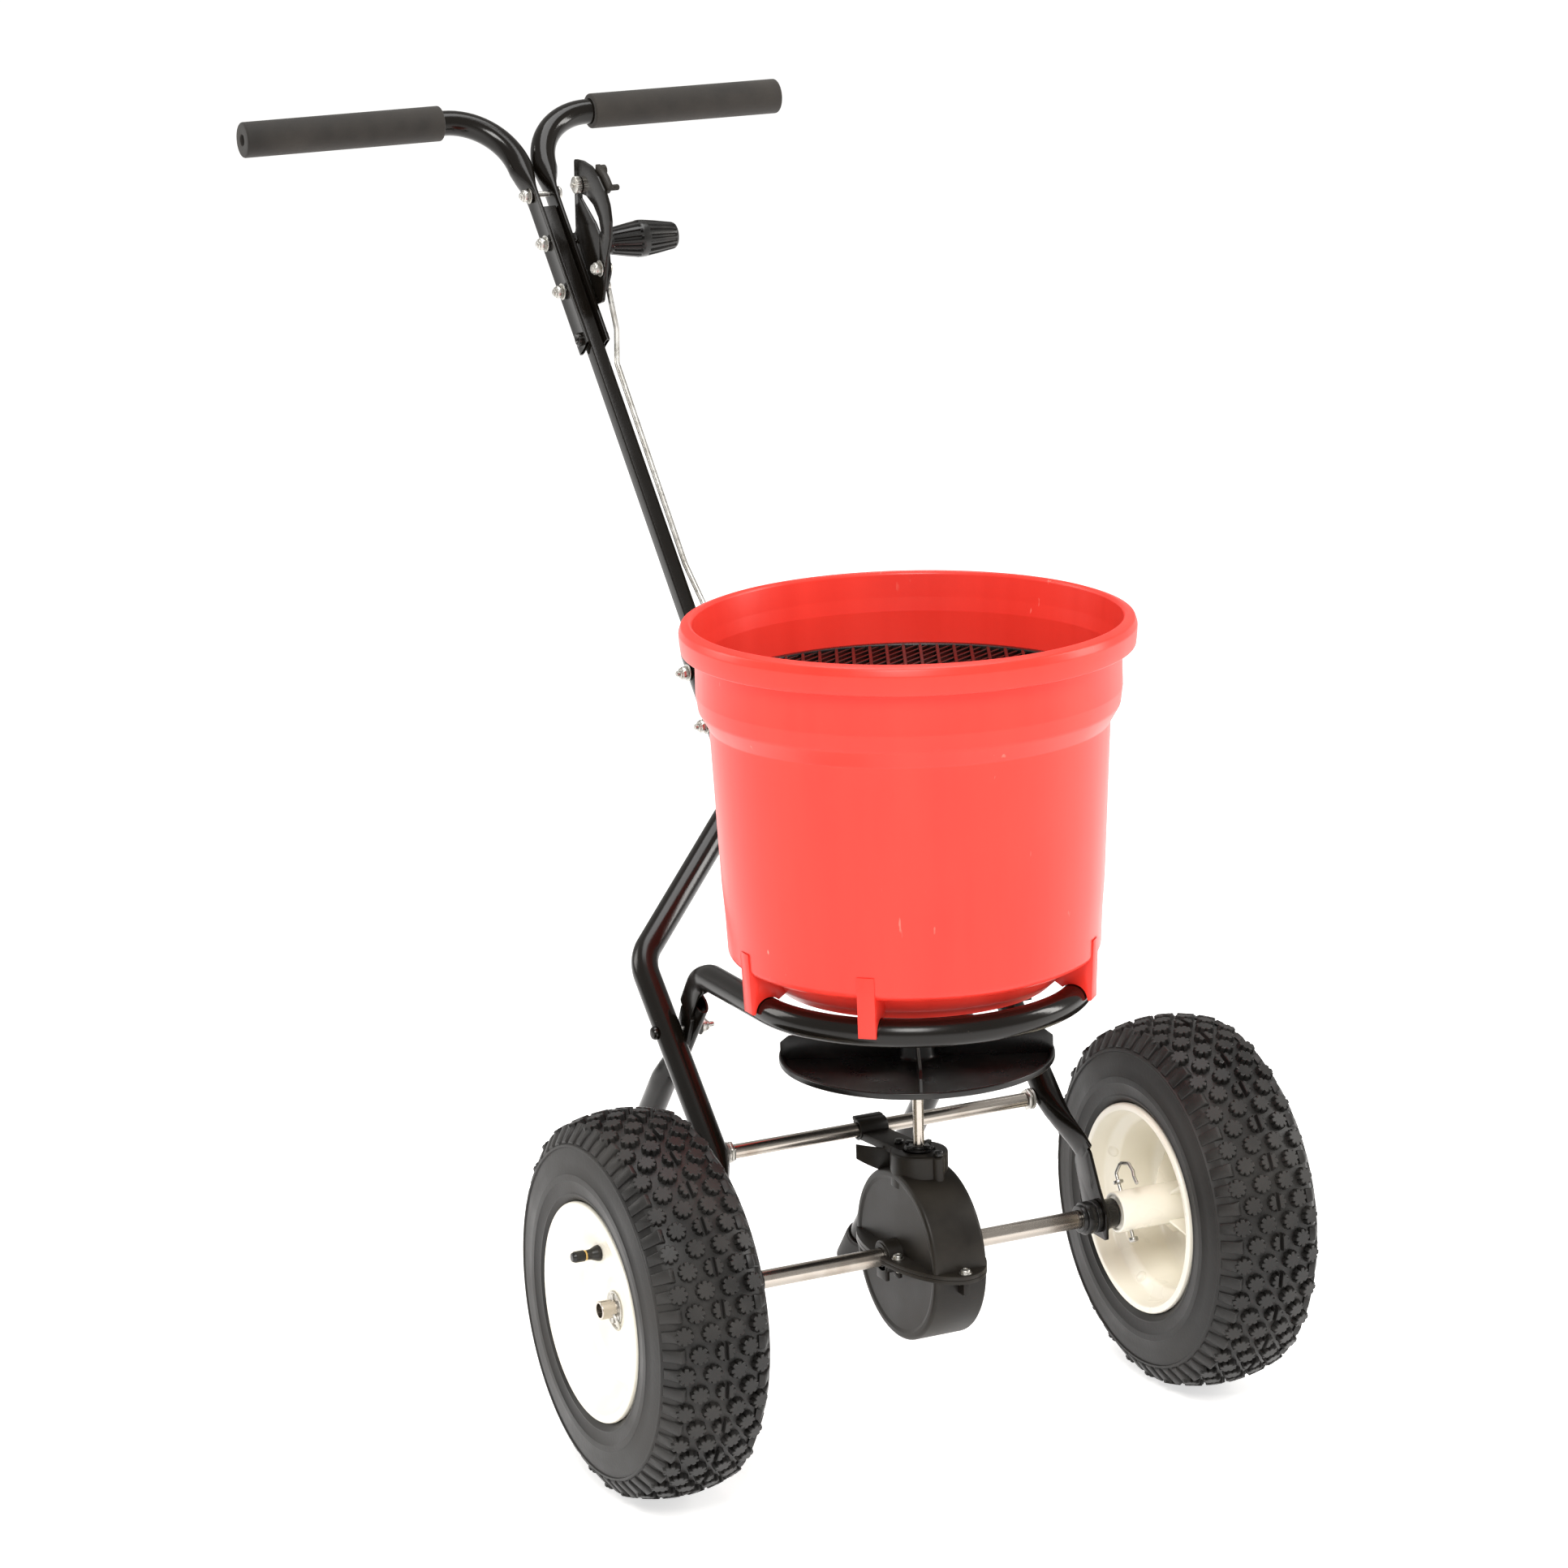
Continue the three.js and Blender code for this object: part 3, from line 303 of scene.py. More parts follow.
def rod(radius, low, high, segments=24, edge=0.4):
    corners = [(0, low), (radius - edge, low), (radius, low + edge), (radius, high - edge),
               (radius - edge, high), (0, high)]
    return spun(corners, segments)


def moved(bm, matrix):
    bmesh.ops.transform(bm, matrix=matrix, verts=bm.verts[:])
    if matrix.determinant() < 0:
        bmesh.ops.reverse_faces(bm, faces=bm.faces[:])
    return bm


def joined(*parts):
    whole = bmesh.new()
    for part in parts:
        mesh = bpy.data.meshes.new("part")
        part.to_mesh(mesh)
        part.free()
        whole.from_mesh(mesh)
        bpy.data.meshes.remove(mesh)
    return whole


def shift(x, y, z):
    return Matrix.Translation((x, y, z))


def turn(degrees, axis):
    return Matrix.Rotation(math.radians(degrees), 4, axis)


alongX = turn(90, "Y")     # +Z becomes +X
intoYZ = Matrix(((0, 0, 1, 0), (1, 0, 0, 0), (0, 1, 0, 0), (0, 0, 0, 1)))    # (a, b, depth) to (depth, a, b)
flipX = Matrix.Scale(-1, 4, (1, 0, 0))


# Parts are drawn for the right side, and the left one is its mirror image.
def sided(part, sign):
    return moved(part, flipX) if sign < 0 else part


# Rounds the corners of a route: each inner corner becomes an arc of its own radius.
def bentRoute(corners, radii, steps=10):
    route = [Vector(corners[0])]
    for i, radius in enumerate(radii, start=1):
        here = Vector(corners[i])
        incoming = (here - Vector(corners[i - 1])).normalized()
        outgoing = (Vector(corners[i + 1]) - here).normalized()
        angle = incoming.angle(outgoing)
        start = here - incoming * radius * math.tan(angle / 2)
        inward = (outgoing - incoming * incoming.dot(outgoing)).normalized()
        for k in range(steps + 1):
            a = angle * k / steps
            route.append(start + incoming * radius * math.sin(a) + inward * radius * (1 - math.cos(a)))
    route.append(Vector(corners[-1]))
    return route


# Adds stations so that no step is longer than the given length.
def finer(route, length):
    result = [route[0]]
    for a, b in zip(route, route[1:]):
        count = max(1, math.ceil((b - a).length / length))
        result += [a.lerp(b, k / count) for k in range(1, count + 1)]
    return result


# Carries a cross-section along a route. sectionAt gives its (side, up) points at a station.
def swept(route, sectionAt, side=(1, 0, 0), mouth=0.0, wall=0.84):
    rings = []
    side = Vector(side)
    for i, here in enumerate(route):
        ahead = (route[min(i + 1, len(route) - 1)] - here).normalized()
        behind = (here - route[max(i - 1, 0)]).normalized()
        forward = (ahead + behind).normalized()
        side = (side - forward * side.dot(forward)).normalized()
        rings.append((here, side, forward.cross(side), sectionAt(here), forward))
    if mouth:
        first, last = rings[0], rings[-1]
        smallFirst = [Vector(p) * wall for p in first[3]]
        smallLast = [Vector(p) * wall for p in last[3]]
        rings.insert(0, (first[0], first[1], first[2], smallFirst, first[4]))
        rings.insert(0, (first[0] + first[4] * mouth, first[1], first[2], smallFirst, first[4]))
        rings.append((last[0], last[1], last[2], smallLast, last[4]))
        rings.append((last[0] - last[4] * mouth, last[1], last[2], smallLast, last[4]))
    bm = bmesh.new()
    ring = bmesh.ops.create_circle(bm, cap_ends=True, radius=1, segments=len(rings[0][3]))["verts"]
    for i, (here, across, up, section, forward) in enumerate(rings):
        if i:
            grown = bmesh.ops.extrude_edge_only(bm, edges=closedEdges(bm, ring))["geom"]
            fresh = {g for g in grown if isinstance(g, bmesh.types.BMVert)}
            ring = [next(e.other_vert(v) for e in v.link_edges if e.other_vert(v) in fresh) for v in ring]
        for vertex, (a, b) in zip(ring, section):
            vertex.co = here + across * a + up * b
    bm.faces.new(ring)
    bmesh.ops.recalc_face_normals(bm, faces=bm.faces[:])
    return bm


def finishPiece(bm, name, finish, body, nodes=(), crease=34):
    bmesh.ops.transform(bm, matrix=shift(0, axleY, 0) @ Matrix.Scale(0.001, 4), verts=bm.verts[:])
    mesh = bpy.data.meshes.new(name)
    bm.to_mesh(mesh)
    bm.free()
    mesh.shade_smooth()
    mesh.set_sharp_from_angle(angle=math.radians(crease))
    mesh.materials.append(finish)
    piece = bpy.data.objects.new(name, mesh)
    bpy.context.scene.collection.objects.link(piece)
    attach(piece, body)
    if nodes:
        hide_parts(*nodes)
    return piece


def smoothStep(value):
    t = min(max(value, 0.0), 1.0)
    return t * t * (3 - 2 * t)


# The handle line: station s along it, offset n square to it.

handleLine = dict(y=445, z=649, rise=math.atan2(0.758, 0.652), halfMain=7)
gripStation = 547


def onHandle(s, n=0.0, x=0.0):
    rise = handleLine["rise"]
    return Vector((x, handleLine["y"] + s * math.cos(rise) - n * math.sin(rise),
                   handleLine["z"] + s * math.sin(rise) + n * math.cos(rise)))


def stationOf(point):
    rise = handleLine["rise"]
    return (point.y - handleLine["y"]) * math.cos(rise) + (point.z - handleLine["z"]) * math.sin(rise)


# Fasteners.

# Hexagon with a chamfered crown, standing on z = 0.
def hexagon(flats, height, dome=0.0):
    radius = flats / math.sqrt(3)
    body = plate(circle(radius, 6), height, edge=0.7, segments=1)
    parts = [body]
    if dome:
        parts.append(spun([(0, height - 0.5), (flats * 0.40, height - 0.5), (flats * 0.38, height + dome * 0.5),
                           (flats * 0.24, height + dome * 0.9), (0, height + dome)], 20))
    return joined(*parts)


# Lock nut with the thread's end showing, on a washer.
def lockNut(flats, height, thread):
    washer = rod(flats * 0.72, 0, 1.2, 24, 0.3)
    nut = moved(hexagon(flats, height), shift(0, 0, 1.2))
    crown = rod(flats * 0.42, height, height + 3.0, 20, 0.8)
    end = rod(2.6, height, height + 3.0 + thread, 12, 0.5)
    return joined(washer, nut, crown, end)


def boltHead(radius, height):
    return spun([(0, 0), (radius, 0), (radius, height * 0.3), (radius * 0.82, height * 0.75),
                 (radius * 0.45, height), (0, height)], 24)


def acrossX(part, x, y, z, sign=1):
    return moved(part, shift(x, y, z) @ turn(90 * sign, "Y"))


# Tubes of the frame.

tube = dict(radius=12, count=28, step=14)


# Circle pressed along x: it grows thin, and its middle moves by the drift.
def pressedSection(weight, thin, grow=1.0, drift=0.0):
    across = 1 + (thin - 1) * weight
    along = 1 + (grow - 1) * weight
    return [Vector((p.x * across + drift, p.y * along)) for p in circle(tube["radius"], tube["count"])]


def makeHoop():
    hoop = dict(ring=141, z=403, backY=104, turnRadius=34, fall=52, pressedAt=-7.2)
    route = [Vector((-hoop["ring"], 147, 367))]
    for k in range(8, -1, -1):
        angle = math.radians(hoop["fall"] * k / 8)
        route.append(Vector((-hoop["ring"], hoop["backY"] + hoop["turnRadius"] * math.sin(angle),
                             hoop["z"] - hoop["turnRadius"] * (1 - math.cos(angle)))))
    behind = list(route)
    for k in range(57):
        angle = math.pi * (1 + k / 56)
        route.append(Vector((hoop["ring"] * math.cos(angle), hoop["ring"] * math.sin(angle), hoop["z"])))
    route += [Vector((hoop["ring"], p.y, p.z)) for p in reversed(behind)]
    route = finer(route, tube["step"])

    def section(here):
        weight = smoothStep((here.y - 112) / 22)
        return pressedSection(weight, 0.2, 1.04, hoop["pressedAt"] * weight)

    bar = swept(route, section, side=(1, 0, 0), mouth=8)
    tabs = []
    tab = outline([(134, 361, 4), (147, 333, 6), (158, 327, 8), (167, 333, 6), (166, 343, 6), (153, 371, 5)])
    for sign in (-1, 1):
        flat = moved(plate(tab, 3.4, 0.8), shift(146.2, 0, 0) @ intoYZ)
        tabs.append(sided(flat, sign))
    finishPiece(joined(bar, *tabs), "hoopTube", powderCoat, "frame", ("stand_hoop",))


def makeLegs():
    leg = dict(x=146.4, foot=(425, 10), top=(132, 376), capRadius=14.6)
    foot = Vector((leg["x"], *leg["foot"]))
    top = Vector((leg["x"], *leg["top"]))

    def section(here):
        weight = smoothStep((here.z - 286) / 34)
        return pressedSection(weight, 0.5, 1.06, -5.2 * weight)

    for side, sign in sides:
        bar = sided(swept(finer([foot, top], tube["step"]), section, mouth=12), sign)
        finishPiece(bar, f"legTube_{side}", powderCoat, "frame", (f"stand_leg_{side}",))
        # rubber foot, cut level just above the ground
        r = leg["capRadius"]
        cap = spun(outline([(0, -14), (r, -14, 2), (r, 22, 1), (r - 0.9, 24), (r - 0.4, 26, 0.3),
                            (12.5, 26, 0.5), (12.4, 8), (0, 8)]), 40)
        tilt = math.atan2(-(top - foot).y, (top - foot).z)
        moved(cap, shift(sign * leg["x"], *leg["foot"]) @ Matrix.Rotation(tilt, 4, "X"))
        bmesh.ops.bisect_plane(cap, geom=cap.verts[:] + cap.edges[:] + cap.faces[:], plane_co=(0, 0, 0.1),
                               plane_no=(0, 0, -1), clear_outer=True)
        bmesh.ops.holes_fill(cap, edges=[e for e in cap.edges if e.is_boundary])
        finishPiece(cap, f"footCap_{side}", rubber, "frame", (f"foot_cap_{side}",))


def makeSideTubes():
    strut = dict(x=162.5, plateX=174.5, upperX=12.8, plateTop=262)
    corners = [(strut["x"] + 6, 21, 215.4), (strut["x"], 66, 259.6), (strut["x"], 207, 398),
               onHandle(-196, 0, strut["upperX"]), onHandle(-44, 0, strut["upperX"])]
    route = finer(bentRoute(corners, [70, 42, 46], 12), tube["step"])

    def section(here):
        if here.z < 300:
            weight = smoothStep((strut["plateTop"] - here.z) / 44)
            drift = (strut["plateX"] - strut["x"] - 5) * weight * weight
            return pressedSection(weight, 0.14, 1.26, drift)
        return pressedSection(smoothStep((stationOf(here) + 205) / 40), 0.5)

    for side, sign in sides:
        lug = outline([(-17, 147, 2), (13, 147, 3), (20, 158, 6), (38, 206, 10), (30, 227, 8), (12, 221, 8),
                       (-4, 191, 12), (-17, 172, 8)])
        flat = plate(lug, 2.8, 0.5, holes=(circle(8.4, 32, (0, axleZ)),))
        moved(flat, shift(strut["plateX"] - 1.4, 0, 0) @ intoYZ)
        whole = sided(joined(swept(route, section, mouth=6), flat), sign)
        finishPiece(whole, f"sideTube_{side}", powderCoat, "frame", (f"side_tube_{side}",))


def makeMainTube():
    main = dict(half=handleLine["halfMain"], start=-150, end=440, corner=1.6)
    h, r = main["half"], main["corner"]
    square = outline([(-h, -h, r), (h, -h, r), (h, h, r), (-h, h, r)], 5)
    route = finer([onHandle(main["start"]), onHandle(main["end"])], 40)
    bar = swept(route, lambda here: square, mouth=10, wall=0.76)
    top = onHandle(main["end"] - 5)
    plug = box((-h + 0.6, -h + 0.6, 0), (h - 0.6, h - 0.6, 4), 0.6)
    moved(plug, shift(0, top.y, top.z) @ Matrix.Rotation(handleLine["rise"] - math.pi / 2, 4, "X"))
    finishPiece(joined(bar, plug), "mainTube", powderCoat, "frame", ("main_tube",))


def makeHandle():
    handle = dict(lower=285, bend=62, straightX=12.3, out=270, channel=2.6, count=36)

    # From the round tube to the channel that wraps the main tube: flat inside, hollow outside.
    def channelPoint(point, sign):
        up = max(-1.0, min(1.0, point.y / 12))
        across = point.x / 12
        outward = handle["channel"] * (abs(across) ** 0.35) * (1 if across > 0 else -1)
        if outward * sign > 0:
            outward -= sign * 1.7 * (1 - up * up)
        return Vector((outward, 12.4 * up))

    for side, sign in sides:
        corners = [onHandle(handle["lower"], 0, sign * handle["straightX"]),
                   onHandle(gripStation, 0, sign * handle["straightX"]),
                   onHandle(gripStation, 0, sign * handle["out"])]
        route = finer(bentRoute(corners, [handle["bend"]], 18), 10)

        def section(here, sign=sign):
            weight = smoothStep((488 - stationOf(here)) / 38) if abs(here.x) < 20 else 0
            centre = sign * (handleLine["halfMain"] + 3.2 - handle["straightX"]) * weight
            return [p.lerp(channelPoint(p, sign), weight) + Vector((centre, 0))
                    for p in circle(12, handle["count"])]

        half = swept(route, section, side=(1, 0, 0), mouth=10, wall=0.84)
        finishPiece(half, f"handleTube_{side}", powderCoat, "frame", (f"handle_tube_{side}",))

        grip = dict(radius=16.8, inner=78, outer=277)
        r = grip["radius"]
        start, end = grip["inner"], grip["outer"]
        sleeve = spun(outline([(12.4, start), (r, start, 1.6), (r, end, 2.2), (5.5, end, 0.8), (5.5, end - 6),
                               (12.4, end - 6.3)], 5), 56)
        # long sleeves are not quite straight or round
        for vertex in sleeve.verts:
            wave = math.sin(vertex.co.z * 0.045 + 1.7 * sign) * 0.16
            vertex.co.x += wave
            vertex.co.y += wave * 0.6
        axis = onHandle(gripStation)
        moved(sleeve, shift(0, axis.y, axis.z) @ turn(90 * sign, "Y"))
        finishPiece(sleeve, f"foamGrip_{side}", foam, "frame", (f"grip_{side}",))


makeHoop()
makeLegs()
makeSideTubes()
makeMainTube()
makeHandle()
print("frame tubes and grips made")


# Keeps one side of a closed shape, cut level at a height, and closes the cut.
def halved(bm, height, above):
    bmesh.ops.bisect_plane(bm, geom=bm.verts[:] + bm.edges[:] + bm.faces[:], plane_co=(0, 0, height),
                           plane_no=(0, 0, -1 if above else 1), clear_outer=True)
    bmesh.ops.holes_fill(bm, edges=[e for e in bm.edges if e.is_boundary])
    bmesh.ops.recalc_face_normals(bm, faces=bm.faces[:])
    return bm


def makeHopper():
    hopper = dict(ring=141, ringZ=403, footWidth=15, feet=(0, -45, -132, -180), steps=144)
    outer = [(11, 408), (116, 408, 6), (126, 417, 8), (133, 430, 6), (150, 433.5, 5), (158.3, 438, 7),
             (159.8, 470), (162.2, 500), (164.8, 555), (167.6, 614), (168.7, 635, 4), (177.4, 650, 9),
             (179.2, 664, 10), (179, 698.6, 1.2), (190.6, 699.6, 1.6), (191.6, 708), (192, 716, 5),
             (190, 722.2, 3), (182.4, 725, 2.4)]
    inner = [(180.4, 722, 3), (178.2, 702, 8), (176.4, 690, 8), (174.8, 652, 6), (166.6, 637, 5),
             (157, 452, 10), (148, 438, 5), (131, 433.5, 6), (123.5, 419.5, 5), (114.5, 411, 3), (11, 411)]
    shellPart = spun(outline([*outer, *inner], 7), hopper["steps"])
    arch = [(157.6, 402, 1.2), (154.2, 402, 0.8)]
    for degrees in range(6, 140, 9):
        a = math.radians(degrees)
        arch.append((hopper["ring"] + 12.7 * math.cos(a), hopper["ringZ"] + 12.7 * math.sin(a)))
    arch += [(125.2, 417.5), (133, 431.5), (150, 437), (160, 455)]
    feet = []
    for angle in hopper["feet"]:
        foot = plate(outline(arch), hopper["footWidth"], 1.4)
        moved(foot, turn(angle, "Z") @ turn(90, "X") @ shift(0, 0, -hopper["footWidth"] / 2))
        feet.append(foot)
    lugs = [moved(box((170, -6, 649), (175.6, 6, 657.5), 1.0), turn(a, "Z")) for a in (30, 150, 270)]
    finishPiece(joined(shellPart, *feet, *lugs), "hopperShell", redPlastic, "frame", ("hopper",), crease=40)


# Lift-out screen: two families of slats inside a flat ring.
def makeScreen():
    screen = dict(radius=173, z=658, height=5, yaw=-25.6)
    families = (dict(angle=90, pitch=14.6, width=3.0, low=0.6, high=4.6),
                dict(angle=57, pitch=9.0, width=2.2, low=0.2, high=3.8))
    r, z = screen["radius"], screen["z"]
    top = z + screen["height"]
    ring = spun(outline([(r - 7, z), (r, z, 0.8), (r, top, 1.2), (r - 7, top, 1.2)]), 128)
    slats = []
    for family in families:
        count = int((r - 5) / family["pitch"])
        for i in range(-count, count + 1):
            across = i * family["pitch"]
            reach = math.sqrt((r - 4) ** 2 - across ** 2)
            slat = box((-reach, across - family["width"] / 2, z + family["low"]),
                       (reach, across + family["width"] / 2, z + family["high"]), 0.5, 1)
            slats.append(moved(slat, turn(family["angle"] + screen["yaw"], "Z")))
    finishPiece(joined(ring, *slats), "sieveScreen", glossPlastic, "screen", ("hopper_screen",))


def makeImpeller():
    disc = dict(radius=118, z=337, fins=4, finTop=24, yaw=-25.6)
    r, z = disc["radius"], disc["z"]
    dish = spun(outline([(5, z), (r - 3, z, 1.5), (r, z + 1.5, 1), (r, z + 6.4, 1), (r - 3.4, z + 6.4, 1),
                         (r - 6, z + 3, 2), (17, z + 3, 4), (13.6, z + 24, 1.6), (5, z + 24)], 5), 128)
    fins = []
    for i in range(disc["fins"]):
        blade = outline([(8, 1), (r - 1.4, 1), (r - 1.4, 18, 2), (r - 9, disc["finTop"], 5), (8, disc["finTop"])])
        around = turn(disc["yaw"] + 360 * i / disc["fins"], "Z") @ turn(90, "X")
        fins.append(moved(plate(blade, 2.4, 0.7), shift(0, 0, z) @ around @ shift(0, 0, -1.2)))
    finishPiece(joined(dish, *fins), "throwingDisc", glossPlastic, "impeller_spindle", ("impeller",))
    shaft = rod(4.75, 198, 446, 40, 0.7)
    finishPiece(shaft, "discShaft", brightSteel, "impeller_spindle", ("impeller_shaft",))


def makeGearCase():
    case = dict(radius=75, half=25, seam=0.15, collar=14.6, collarReach=39, neck=25, neckTop=256, rodY=72,
                rodZ=257)
    screws = ((-32.5, -20), (32.5, 20), (0, -82), (0, 82))
    r, half = case["radius"], case["half"]

    def ovalFlange(low, thick):
        rim = [(43 * math.cos(math.tau * i / 96), 90 * math.sin(math.tau * i / 96)) for i in range(96)]
        return moved(plate([Vector(p) for p in rim], thick, 0.8), shift(0, 0, low))

    def drum(above):
        body = spun(outline([(0, -half + 1.2), (66, -half + 1.2, 2), (69, -half, 1), (r, -half, 3.4),
                             (r, half, 3.4), (69, half, 1), (66, half - 1.2, 2), (0, half - 1.2)], 5), 128)
        reach, wide, narrow = case["collarReach"], case["collar"], case["collar"] - 2.2
        collar = spun(outline([(8.6, -reach), (narrow, -reach, 0.5), (narrow, 1 - reach),
                               (wide, 1.2 - reach, 0.8), (wide, reach - 1.2, 0.8), (narrow, reach - 1),
                               (narrow, reach, 0.5), (8.6, reach)], 4), 64)
        whole = moved(joined(body, collar), shift(0, 0, axleZ) @ alongX)
        cut = axleZ + (case["seam"] if above else -case["seam"])
        return halved(whole, cut, above)

    top, rodY, rodZ = case["neckTop"], case["rodY"], case["rodZ"]
    neck = spun(outline([(10, 226), (case["neck"], 226), (case["neck"], top, 2.6), (14, top, 1),
                         (14, top - 2), (10, top - 2)], 5), 72)
    boss = moved(rod(5.4, 222, top - 1, 28, 1.0), shift(6, -24, 0))
    arm = plate(outline([(-15, 6), (11, 6), (3, rodY - 4, 2), (-23, rodY - 4, 2)]), 7, 1.2)
    moved(arm, shift(0, 0, 249.2))
    armRibs = []
    for x in (-13, 7):
        rib = plate(outline([(6, 226), (60, 246, 4), (66, 250), (6, 250)]), 2.6, 0.6)
        armRibs.append(moved(rib, shift(x, 0, 0) @ intoYZ))
    clipAngles = [math.radians(40 + 10 * k) for k in range(29)]
    clipShape = [Vector((9.4 * math.cos(a), 9.4 * math.sin(a))) for a in clipAngles]
    clipShape += [Vector((6.9 * math.cos(a), 6.9 * math.sin(a))) for a in reversed(clipAngles)]
    clip = moved(plate(clipShape, 27, 0.7), shift(-23.5, rodY, rodZ) @ intoYZ)
    catch = box((-23.5, rodY + 1, rodZ + 6.6), (3.5, rodY + 8.6, rodZ + 10.4), 1.2)
    # curved scoop behind the neck
    scoopPath = [Vector((-3 - 3.4 * k, 26 + 0.2 * k * k)) for k in range(11)]
    scoopPath += [p + Vector((0.6, 2.6)) for p in reversed(scoopPath)]
    scoop = moved(plate(scoopPath, 22, 0.6), shift(0, 0, 228))
    for vertex in scoop.verts:
        lift = max(0.0, (vertex.co.x + 3) / -34)
        vertex.co.z += lift * 3 if vertex.co.z > 239 else lift ** 2 * 12
    upper = joined(drum(True), neck, boss, arm, *armRibs, clip, catch, scoop, ovalFlange(axleZ + 0.15, 3.4))
    finishPiece(upper, "gearCaseTop", darkPlastic, "frame", ("gear_case_top",), crease=38)

    low, high = axleZ - 16, axleZ - 3
    ribs = [box((-31, -17, low), (-27, -7, high), 0.8), box((-39, -9, axleZ - 20), (-35, 9, axleZ - 4), 1),
            box((-3, -84, low), (3, -70, high), 0.8), box((27, 7, low), (31, 17, high), 0.8),
            box((-3, 70, low), (3, 84, high), 0.8)]
    lower = joined(drum(False), ovalFlange(axleZ - 3.55, 3.4), *ribs)
    finishPiece(lower, "gearCaseBottom", darkPlastic, "frame", ("gear_case_bottom",), crease=38)

    for i, (x, y) in enumerate(screws):
        head = spun(outline([(0, 0), (5.6, 0), (5.6, 0.9, 0.3), (4.4, 1, 0.2), (4.2, 3.4, 1.4), (2.0, 4.2),
                             (1.6, 3.0), (0, 3.0)], 3), 24)
        shank = moved(rod(2.0, axleZ - 9, axleZ + 4, 12), shift(x, y, 0))
        screw = joined(moved(head, shift(x, y, axleZ + 3.6)), shank)
        finishPiece(screw, f"caseScrew_{i + 1}", zinc, "frame", (f"case_screw_{i + 1}",))
    for name, x, y in (("front", 6, -24), ("arm", -8, 22)):
        bolt = moved(hexagon(8, 4.2, 0.8), shift(x, y, top - 0.5))
        finishPiece(bolt, f"neckScrew_{name}", glossPlastic, "frame")
    ring = spun(outline([(5.1, 256.4), (13, 256.4, 0.6), (13, 258.2, 0.8), (9.4, 258.6, 0.4),
                         (8.4, 260.6, 0.6), (5.1, 260.6)], 4), 40)
    tabs = [moved(box((6, -2.2, 258), (14.4, 2.2, 261.4), 0.7), turn(a, "Z")) for a in (20, 110, 200, 290)]
    sleeve = rod(9.2, 233, 256.4, 32)
    finishPiece(joined(ring, *tabs, sleeve), "shaftBush", glossPlastic, "frame", ("shaft_bush",))


makeHopper()
makeScreen()
makeImpeller()
makeGearCase()
print("hopper, screen, disc and gear case made")


# The axle, its bushes and the cross rod.

def makeAxle():
    axle = dict(radius=7.95, bore=6.2, half=303.6, bush=14.6)
    end = axle["half"]
    bar = spun(outline([(axle["bore"], -end), (axle["radius"], -end, 0.6), (axle["radius"], end, 0.6),
                        (axle["bore"], end)], 3), 64)
    finishPiece(moved(bar, shift(0, 0, axleZ) @ alongX), "axleTube", brightSteel, "drive_axle", ("axle_shaft",))
    r = axle["bush"]
    for side, sign in sides:
        inner = spun(outline([(8.3, 155), (12.2, 155, 1), (12.4, 158.5), (r, 158.8, 1), (r, 166, 0.6),
                              (r - 1, 166.3), (r - 1, 167.6), (r, 168, 0.5), (r, 172.8, 0.6),
                              (8.3, 172.8)], 4), 56)
        outer = spun(outline([(8.3, 176.2), (r + 0.6, 176.2, 0.6), (r + 0.6, 180, 0.6), (r - 1.4, 180.4),
                              (r - 1.4, 190.8, 1.2), (8.3, 190.8)], 4), 56)
        for name, part in (("inner", inner), ("outer", outer)):
            sided(moved(part, shift(0, 0, axleZ) @ alongX), sign)
            finishPiece(part, f"axleBush_{side}_{name}", glossPlastic, "frame", (f"axle_bush_{side}_{name}",))


def makeCrossRod():
    bar = dict(radius=6.35, half=143, y=72, z=257, flats=17)
    part = moved(rod(bar["radius"], -bar["half"], bar["half"], 48, 0.6), shift(0, bar["y"], bar["z"]) @ alongX)
    finishPiece(part, "crossRod", brightSteel, "frame", ("cross_rod",))
    for side, sign in sides:
        washer = rod(9.4, 147.2, 149.8, 32, 0.4)
        nut = moved(hexagon(bar["flats"], 4.0), shift(0, 0, 143.2))
        whole = sided(moved(joined(washer, nut), shift(0, bar["y"], bar["z"]) @ alongX), sign)
        finishPiece(whole, f"crossRodNut_{side}", zinc, "frame", (f"cross_rod_nut_{side}",))


def throughBolt(headX, nutX, y, z, head=6.6, thread=3.0):
    parts = [acrossX(boltHead(head, 3.8), headX, y, z), acrossX(lockNut(11, 5.6, thread), nutX, y, z, -1)]
    shank = moved(rod(2.8, nutX, headX, 16), shift(0, y, z) @ alongX)
    return joined(*parts, shank)


